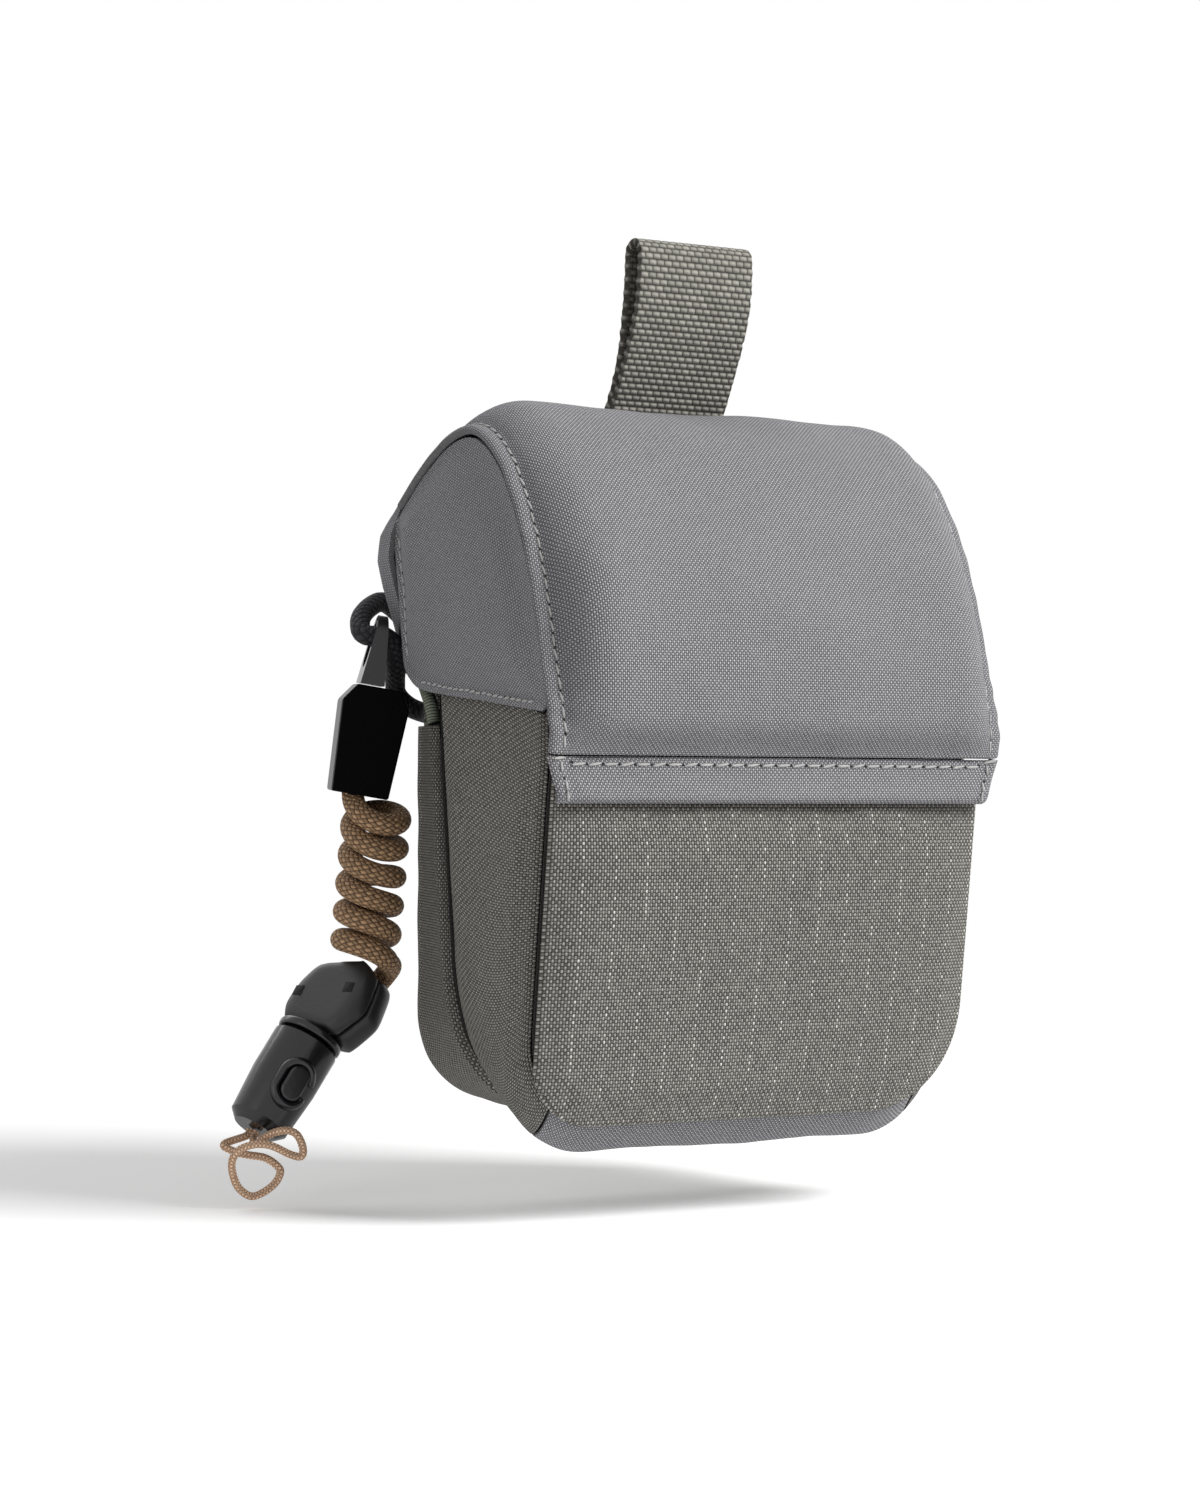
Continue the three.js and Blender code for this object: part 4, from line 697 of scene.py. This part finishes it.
# Two short elastic cords come out of the rear side panel and run up behind the lid's wings. They
# have a ribbed grey-green cover.
elastic_cover = woven("elastic_cover", (0.2, 0.22, 0.17), (0.03, 0.035, 0.025), 0.0006,
                      around=1, depth=0.00015, bead=0.2)
ELASTIC_X = 44.75
ELASTIC_RADIUS = 1.35
for side, sign in SIDES:
    knots = [bench(sign * ELASTIC_X, *p) for p in ((51, 79.6), (52.6, 83.4), (56, 88), (58, 92))]
    elastic = rope("elastic_cord_" + side, smooth_line(knots, 8), ELASTIC_RADIUS * MM, 16,
                   elastic_cover)
    dress(elastic, "root", "shock_cord", "shock_cord_" + side)

# The belt loop and the anchor's tab are taupe nylon webbing with coarse ribs, sewn to the back.
INCH = 25.4
RIB = (1.7, 1.24)
RIB_HEIGHT = 0.12
webbing = woven("webbing", (0.335, 0.322, 0.285), (0.05, 0.047, 0.04), RIB[0] * MM, RIB[1] * MM,
                shift=0.5, crossed=0.0, depth=0.0003, speckle=0.3, bead=0.55)
LOOP_SIDE = [(61.3 + 1.8, 26), (63.1, 33), (71.2, 41), (71.2, 73), (63.1, 81), (63.1, 88)]


def ribs(s, t):
    """The webbing's own relief: one bead for each crossing, each row staggered."""
    row = t / MM / RIB[1]
    column = s / MM / RIB[0] + 0.5 * math.floor(row)
    bead = abs(math.sin(math.pi * row)) * abs(math.sin(math.pi * column)) ** 0.55
    return RIB_HEIGHT * MM * (bead - 0.5)


def along_line(knots, t):
    """A point at a share of the way along a line of (a, b) knots."""
    runs = runs_of(knots, math.dist)
    at = clamp(t) * runs[-1]
    k = min(max(bisect.bisect_right(runs, at), 1), len(knots) - 1)
    share = (at - runs[k - 1]) / (runs[k] - runs[k - 1])
    return [lerp(a, b, share) for a, b in zip(knots[k - 1], knots[k])]


def flat_curve(knots, steps):
    """Knots in a plane, given as (a, b), made a smooth line."""
    return [(p.x, p.y) for p in smooth_line([Vector((a, b, 0)) for a, b in knots], steps)]


def loop_face(u, v):
    y, z = along_line(LOOP_SIDE, v)
    return bench((2 * u - 1) * INCH, y, z)


belt_loop = cloth("belt_webbing", 120, 220, loop_face, 1.8, webbing, relief=ribs, edge=webbing)
dress(belt_loop, "root", "webbing", "belt_loop")
dress(copied("anchor_tab", "anchor_webbing", webbing, edge=0.8), "root", "webbing", "anchor_tab")

# The lid's main panel is one padded piece of softshell, folded over from the front. Its two sides
# are pressed flat and top-stitched. The real lid swings on the fold at the hem; this panel is baked
# in place and follows no body.
LID_HALF = 49
LID_MARGIN = 3
SHOULDER = 12
SET_BACK = [(0, 0), (0.03, 0.6), (0.066, 2.4), (0.11, 4.2), (0.15, 5.4), (0.2, 6), (0.26, 6),
            (0.32, 5.2), (0.39, 3.8), (0.46, 2.9), (0.54, 2.3), (1, 2.3)]
LID_LINE = flat_curve([
    (-5.5, 72.3), (-7.6, 78), (-8.4, 85), (-8, 92), (-6.4, 99.4), (-3.4, 106.6), (1, 113.8),
    (6, 121), (11.5, 127.6), (17.4, 132.8), (24, 136.3), (31, 137.4), (39, 136.2), (47, 133.2),
    (55, 129.1), (61.5, 125)], 8)


def lid_point(x, v, out):
    """A point on the lid's section, pushed out from it."""
    y, z = along_line(LID_LINE, v)
    (ya, za), (yb, zb) = along_line(LID_LINE, v - 0.01), along_line(LID_LINE, v + 0.01)
    span = math.hypot(yb - ya, zb - za)
    return bench(x, y - (zb - za) / span * out, z + (yb - ya) / span * out)


def set_back(v):
    """How far the stitched margin lies behind the lid's section."""
    k = max(1, next(i for i, row in enumerate(SET_BACK) if clamp(v) <= row[0]))
    (start, low), (end, high) = SET_BACK[k - 1:k + 1]
    return lerp(low, high, ease(clamp(v), start, end))


def lid_face(u, v):
    x = (2 * u - 1) * LID_HALF
    rim = LID_HALF - abs(x)
    rise = 1 - (1 - clamp((rim - LID_MARGIN + 0.3) / SHOULDER)) ** 3
    pad = ease(v, 0, 0.07) * (1 - ease(v, 0.9, 1))
    groove = 0.35 * (1 - clamp(abs(rim - LID_MARGIN) / 0.8)) * ease(v, 0, 0.03)
    soft = ripple(x, v * 150, 0, 22, 0.8) * pad * rise + ripple(x, v * 150, 3, 6, 0.12)
    bend = 0.6 * clamp(1 - rim / LID_MARGIN) ** 2 + rounded(rim, 0.5)
    return lid_point(x, v, lerp(-set_back(v) - bend, 2.6 * pad, rise) - groove + soft)


lid_panel = cloth("lid_cloth", 140, 200, lid_face, 1.6, softshell)
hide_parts("lid_main_panel")
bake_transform(lid_panel)

# Below the fold the panel goes on as a short hem that stays sewn to the front. Its lower edge is
# free and lifts a little, and its ends are stitched down.
HEM_DROP = 8.2
HEM_TOP = 0.28
HEM_END = 3.4
TO_FRONT = 0.947


def hem_face(u, v):
    z = lerp(FOLD_Z - HEM_DROP, FOLD_Z + HEM_TOP, v)
    x = (2 * u - 1) * LID_HALF
    rim = LID_HALF - abs(x)
    x *= 1 - 0.055 * (1 - v)
    panel = front_seam(z) - SEAM_GAP - CLOTH - front_puff(x * TO_FRONT, min(z, FRONT_TOP)) - 0.3
    flare = 0.8 * ease(FOLD_Z - z, 2, HEM_DROP)
    inner = max(panel - flare, -5.1 + 0.8 * ease(z, FOLD_Z - 1, FOLD_Z + HEM_TOP))
    inner = min(inner, front_seam(z) - SEAM_GAP - CLOTH - 0.3)
    end = 0.4 * (1 - clamp(abs(rim - HEM_END) / 0.7))
    wave = ripple(x, 0, z, 12, 0.5) * ease(FOLD_Z - z, 1, 5)
    roll = rounded(z - (FOLD_Z - HEM_DROP), 1.6) + rounded(rim, 0.5)
    roll += 0.6 * ease(z, FOLD_Z - 1.2, FOLD_Z + 0.2) * ease(rim, 2, 8)
    return bench(x, inner - 2 + end + wave + roll, z)


hem = cloth("hem_cloth", 130, 24, hem_face, 1.7, softshell)
dress(hem, "root", "softshell", "lid_hem")

# The wings are the lid's softshell sides. Each is sewn under the main panel's edge, bulges slightly,
# and has a folded lower edge with a row of stitches.
WING_X = 48.1
WING_LOW = flat_curve([
    (-1.5, 80.2), (8, 81.2), (24, 83), (38, 84.4), (48, 85.6), (53.5, 87), (57, 90), (58.4, 96),
    (59.6, 104), (61.3, 112), (61.8, 119)], 6)
edge_shares = [lerp(0.075, 1, i / 60) for i in range(61)]
lid_edge = [lid_point(0, v, -2.5 - set_back(v)) for v in edge_shares]
WING_HIGH = [(p.y / MM + 71.2, p.z / MM + 57) for p in lid_edge]


def wing_face(sign):
    def place(u, v):
        low, high = along_line(WING_LOW, u), along_line(WING_HIGH, u)
        y, z = lerp(low[0], high[0], v), lerp(low[1], high[1], v)
        height = math.dist(low, high)
        rim = min(v, 1 - v) * height
        swell = 1.3 * ease(rim, 1, 12) * ease(u, 0, 0.2) * (1 - ease(u, 0.85, 1))
        swell += 0.35 * (1 - ease(v * height, 1.4, 2.4)) + ripple(y, z, 5, 12, 0.5) * ease(rim, 0, 6)
        return bench(sign * (WING_X + swell - rounded(v * height, 0.6)), y, z)
    return place


for side, sign in SIDES:
    wing = cloth("wing_" + side, 130, 80, wing_face(sign), 1.2, softshell,
                 uv=lambda p: (p.y * 0.94 + p.z * 0.34, p.z * 0.94 - p.y * 0.34))
    dress(wing, "lid", "softshell", "lid_wing_" + side)

# The rear flap is sewn under the main panel's rear edge, hangs behind the back panel and holds two
# magnets. Its sides turn forward round the wings' rear edges.
FLAP_LINE = flat_curve([(59.6, 124), (61.9, 124.4), (65.4, 123.3), (68.3, 120.6), (70, 116.5),
                        (70.6, 111), (70.6, 103), (70.6, 95), (70.6, 88)], 6)
FLAP_TURN = 5
FLAP_FLAT = 0.7
WING_END = 60.8
FLAP_EDGE = [(88, 39.5), (91, 42.9), (96, 45.6), (101, 46.8), (107, 48.6), (112, 49.8),
             (117, 49.5), (121.5, 47.6), (130, 46)]


def flap_half(z):
    k = max(1, next(i for i, row in enumerate(FLAP_EDGE) if z <= row[0] + 1e-6))
    (za, wa), (zb, wb) = FLAP_EDGE[k - 1:k + 1]
    return lerp(wa, wb, clamp((z - za) / (zb - za)))


def flap_face(u, v):
    y, z = along_line(FLAP_LINE, v)
    half = flap_half(max(z, 88))
    wrap = ease(z, 89, 104)
    side, sign = abs(2 * u - 1), math.copysign(1, u - 0.5)
    if side <= FLAP_FLAT:
        soft = ripple(u * 90, 0, z, 14, 0.5)
        return bench(sign * side / FLAP_FLAT * (half - FLAP_TURN), y + min(soft, 0.1), z)
    q = (side - FLAP_FLAT) / (1 - FLAP_FLAT)
    turn = clamp(q / 0.6) * math.pi / 2
    room = max(y - WING_END, 1)
    bend = min(FLAP_TURN, room)
    straight = clamp((q - 0.6) / 0.4) * min(4.2, room - bend)
    x = half - FLAP_TURN + FLAP_TURN * lerp(q, math.sin(turn), wrap)
    return bench(sign * x, y - wrap * (bend * (1 - math.cos(turn)) + straight), z)


flap = cloth("rear_flap_cloth", 140, 80, flap_face, CLOTH - 0.2, softshell)
dress(flap, "lid", "softshell", "lid_rear_flap")

# The pull tab is a folded length of one-inch webbing, sewn into the lid's top. It stands up in a
# flat loop and leans forward.
TAB_HALF = INCH / 2
TAB_WALL = 1.7
TAB_BOW = 3.3


def tab_outline():
    front, back = [], []
    for i in range(25):
        s = i / 24
        middle, height = 41.2 - 11.7 * (1 - (1 - s) ** 2), 138.7 + 31.3 * s
        half = lerp(1.95, TAB_BOW, ease(s, 0.25, 0.75))
        front.append((middle - half, height))
        back.append((middle + half, height))
    top = [(middle - TAB_BOW * math.cos(i * math.pi / 12), height + TAB_BOW * math.sin(i * math.pi / 12))
           for i in range(1, 12)]
    return front + top + back[::-1]


TAB_LINE = tab_outline()


def tab_face(u, v):
    y, z = along_line(TAB_LINE, v)
    fray = ripple(0, 0, v * 80, 1.3, 0.25)
    return bench((2 * u - 1) * (TAB_HALF - 0.2 + fray * abs(2 * u - 1) ** 8), y, z)


pull_tab = cloth("pull_tab_webbing", 84, 320, tab_face, TAB_WALL, webbing, relief=ribs,
                 inside=bench(0, 40, 155), edge=webbing)
dress(pull_tab, "pull_tab", "webbing", "pull_tab")

# The stitches are light grey polyester. Each one is a short thread pressed into the cloth between
# two needle holes, and each needle hole gets a flat dark mark of painted shade.
thread, tree, shader, spot = toned("stitch_thread", 0.7, (0.42, 0.415, 0.405), 900.0, 0.7)
bumped(tree, shader, put(tree, "TexNoise", spot, None, 2500.0).outputs[0], 0.0001)
needle_hole_shade = toned("needle_hole_shade", 0.95, (0.012, 0.012, 0.012), 500.0, 0.6)[0]


def stitched(name, onto, guide, pitch, thick, body=None, blend=None):
    """A row of stitches on a piece along a guide line, with painted shade at the needle hole between
    each two.
    """
    bpy.context.view_layer.update()
    ground = BVHTree.FromObject(onto, bpy.context.evaluated_depsgraph_get())
    runs = runs_of(guide)
    threads, holes = bmesh.new(), bmesh.new()
    count = int(runs[-1] / (pitch * MM))
    for i in range(2 * count - 1):
        at = (i / 2 + 0.5) * pitch * MM
        k = min(max(bisect.bisect_right(runs, at), 1), len(guide) - 1)
        ahead = (guide[k] - guide[k - 1]).normalized()
        point = guide[k - 1] + ahead * (at - runs[k - 1])
        spot, normal = ground.find_nearest(point)[:2]
        ahead = (ahead - normal * ahead.dot(normal)).normalized()
        # Odd places get the needle hole's painted shade, a flat dark mark; even places get a stitch.
        if i % 2:
            size, lift, group = (0.5 * thick, 0.12 * thick, 0.6 * thick), 0, holes
        else:
            slant = Matrix.Rotation(math.radians(7 + 5 * math.sin(i * 1.7)), 3, normal)
            ahead = slant @ ahead
            size, lift, group = (0.5 * thick, 0.42 * thick, 0.44 * pitch), 0.15 * thick, threads
        across = normal.cross(ahead)
        turn = Matrix((across, normal, ahead)).transposed().to_4x4()
        where = Matrix.Translation(spot + normal * lift * MM) @ turn
        bmesh.ops.create_uvsphere(group, u_segments=8, v_segments=6, radius=1,
                                  matrix=where @ Matrix.Diagonal((*size, 1)) @ Matrix.Scale(MM, 4))
    for suffix, group, finish in (("", threads, thread), ("_holes", holes, needle_hole_shade)):
        row = piece_from(group, name + suffix, finish)
        if blend:
            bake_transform(row)
        else:
            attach(row, body)


fold = ("root", "lid", bench(0, -5.5, 72.3), bench(0, -7.6, 79))
for side, sign in SIDES:
    guide = [lid_point(sign * (LID_HALF - LID_MARGIN + 0.2), v, -set_back(v))
             for v in [lerp(0.01, 0.97, i / 120) for i in range(121)]]
    stitched("lid_stitches_" + side, lid_panel, guide, 2.7, 0.5, blend=fold)
    wing = bpy.data.objects["wing_" + side]
    guide = [bench(sign * 50, *along_line([(y, z + 2.2) for y, z in WING_LOW], i / 60))
             for i in range(2, 36)]
    stitched("wing_stitches_" + side, wing, guide, 2.4, 0.5, "lid")
    guide = [bench(sign * 50, *along_line([(y - 2.4, z) for y, z in WING_LOW], i / 60))
             for i in range(42, 60)]
    stitched("wing_rear_stitches_" + side, wing, guide, 2.4, 0.55, "lid")
    guide = [bench(sign * (LID_HALF - HEM_END), -12, lerp(FOLD_Z - 8, FOLD_Z - 1, i / 8))
             for i in range(9)]
    stitched("hem_end_stitches_" + side, hem, guide, 2.3, 0.5, "root")
guide = [bench(lerp(-48, 48, i / 60), -12, FOLD_Z - 0.35) for i in range(61)]
stitched("hem_stitches", hem, guide, 3.3, 0.55, "root")

# The clip is a glossy moulded stem with an eye, and a cover that is open below and hides the knot.
# The cover's broad faces are matt and its left side is satin.
satin_plastic, tree, shader, spot = toned("satin_plastic", 0.4, (0.016, 0.016, 0.018), 150.0, 0.5,
                                          Specular_IOR_Level=0.4)
bumped(tree, shader, put(tree, "TexNoise", spot, None, 1800.0, 2.0, 0.6).outputs[0], 0.00003)
matt_plastic, tree, shader, spot = toned("matt_plastic", 0.6, (0.0022, 0.0022, 0.0026), 120.0, 0.4,
                                         Specular_IOR_Level=0.03)
bumped(tree, shader, put(tree, "TexNoise", spot, None, 2600.0, 2.0, 0.6).outputs[0], 0.00006)
gloss_plastic, tree, shader, spot = toned("gloss_plastic", 0.2, (0.006, 0.006, 0.008), 150.0, 0.5,
                                          Specular_IOR_Level=0.5)
smear = put(tree, "TexNoise", spot, None, 400.0, 3.0, 0.6).outputs[0]
tree.links.new(sums(tree, "MULTIPLY_ADD", smear, 0.2, 0.12), shader.inputs["Roughness"])
bumped(tree, shader, smear, 0.00003)
dress(copied("clip_stem", "stem", gloss_plastic, edge=0.7), "tether", "satin_plastic", "clip_stem")
cover = copied("clip_cover", "cover", matt_plastic, edge=0.45)
cover.data.materials.append(satin_plastic)
clip_left = -clip.col[0].xyz.normalized()
for face in cover.data.polygons:
    face.material_index = 1 if face.normal.dot(clip_left) > 0.6 else 0
dress(cover, "tether", "satin_plastic", "clip_cover")
dress(copied("cord_knot", "knot", tan_braid), "tether", "coil_braid", "cord_knot")

# The connector's two satin shells close round the coiled cord's end. Two small square windows in
# the front one, where their catches snap together, are thin dark tiles of painted shade.
for side in ("front", "rear"):
    shell = copied(f"connector_{side}_shell", f"{side}_shell", satin_plastic, rounds=0)
    remade = shell.modifiers.new("remade", "REMESH")
    remade.mode, remade.voxel_size, remade.use_smooth_shade = "VOXEL", 0.0004, True
    worn = shell.modifiers.new("worn", "SMOOTH")
    worn.factor, worn.iterations = 0.5, 90
    dress(shell, "tether", "satin_plastic", f"connector_{side}_shell")
# Painted shade for the windows: near-black, on thin tiles laid on the shell.
window_shade = toned("window_shade", 0.9, (0.003, 0.003, 0.003), 500.0, 0.6)[0]
bpy.context.view_layer.update()
shell_face = BVHTree.FromObject(bpy.data.objects["front_shell"],
                                bpy.context.evaluated_depsgraph_get())
WINDOW = (2.2, 2.2, 0.1)
for number, (x, z) in enumerate(((-5.9, 8.4), (5.2, 11.7)), 1):
    spot, normal = shell_face.ray_cast(connector @ Vector((x, -20, z)),
                                       connector.to_3x3() @ Vector((0, 1, 0)))[:2]
    turn = normal.to_track_quat("Z", "X").to_matrix().to_4x4()
    window_shape = bmesh.new()
    bmesh.ops.create_cube(window_shape, size=1, matrix=Matrix.Translation(spot) @ turn
                          @ Matrix.Diagonal((*(width * MM for width in WINDOW), 1)))
    window = piece_from(window_shape, f"shell_window_{number}", window_shade)
    dress(window, "tether", "satin_plastic")

# The swivel post turns in the shells, and the glossy barrel slides off it while its oval button is
# pressed. A raised rim of the same moulding runs round the button.
for node, name, body in (("swivel_post", "post", "swivel"), ("release_barrel", "barrel", "barrel"),
                         ("release_button", "button", "button")):
    dress(copied(node, name, gloss_plastic, edge=0.5), body, "gloss_plastic", node)
BUTTON_TURN = Matrix.Rotation(math.radians(61), 4, "Z")
BUTTON_Z = -10.6
OVAL = 3
OVAL_MORE = 1.5
BARREL_RADIUS = 6.5
RIM_RADIUS = 0.9
rim_line = []
for i in range(49):
    turn = i / 48 * 2 * math.pi
    x, z = OVAL * math.cos(turn), OVAL * math.sin(turn) + math.copysign(OVAL_MORE, math.sin(turn))
    place = Vector((x, -math.sqrt(BARREL_RADIUS ** 2 - x * x), z + BUTTON_Z))
    rim_line.append(connector @ (BUTTON_TURN @ place))
dress(rope("button_rim", rim_line, RIM_RADIUS * MM, 12, gloss_plastic), "barrel", "gloss_plastic")

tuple(coil_line[0])
round(length_of(coil_line), 3)

# A pale floor lies just below the lanyard, and fades into a white surround. A soft lamp stands to
# the right in front, a weaker one to the left, and a third lights the top from behind.
FLOOR_Z = -0.0702
FLOOR_GLOW = 0.22
SURROUND_LIGHT = 0.24
floor_shape = bmesh.new()
bmesh.ops.create_circle(floor_shape, cap_ends=True, segments=96, radius=1.2,
                        matrix=Matrix.Translation((0, 0, FLOOR_Z)))
floor_finish, tree, shader = plain("floor_finish", 0.9, Specular_IOR_Level=0.0)
spot = put(tree, "TexCoord").outputs["Object"]
away = put(tree, "VectorMath", spot, operation="LENGTH").outputs["Value"]
fade = put(tree, "MapRange", away, 0.12, 0.5, 1.0, 0.0, interpolation_type="SMOOTHSTEP")
tree.links.new(fade.outputs[0], shader.inputs["Alpha"])
shader.inputs["Base Color"].default_value = (0.93, 0.93, 0.93, 1)
shader.inputs["Emission Color"].default_value = (1, 1, 1, 1)
shader.inputs["Emission Strength"].default_value = FLOOR_GLOW
floor = piece_from(floor_shape, "floor", floor_finish)

for name, place, size, watts in (("key", (0.75, -0.95, 0.85), 0.6, 25.0),
                                 ("left_fill", (-1.1, -0.5, 0.5), 0.8, 1.9),
                                 ("back_light", (-0.3, 1.0, 1.0), 0.8, 5.0)):
    lamp = bpy.data.lights.new(name, "AREA")
    lamp.size, lamp.energy = size, watts
    holder = bpy.data.objects.new(name, lamp)
    holder.location = place
    holder.rotation_euler = (-Vector(place)).to_track_quat("-Z", "Y").to_euler()
    scene.collection.objects.link(holder)

world = bpy.data.worlds.new("surround")
world.use_nodes = True
scene.world = world
tree = world.node_tree
rays = put(tree, "LightPath").outputs
seen = sums(tree, "MAXIMUM", rays["Is Camera Ray"], rays["Is Glossy Ray"])
seen = sums(tree, "MAXIMUM", seen, rays["Is Transmission Ray"])
strength = put(tree, "MapRange", seen, 0.0, 1.0, SURROUND_LIGHT, 1.0)
surround = tree.nodes["Background"]
surround.inputs["Color"].default_value = (1, 1, 1, 1)
tree.links.new(strength.outputs[0], surround.inputs["Strength"])
scene.view_settings.view_transform = "Standard"
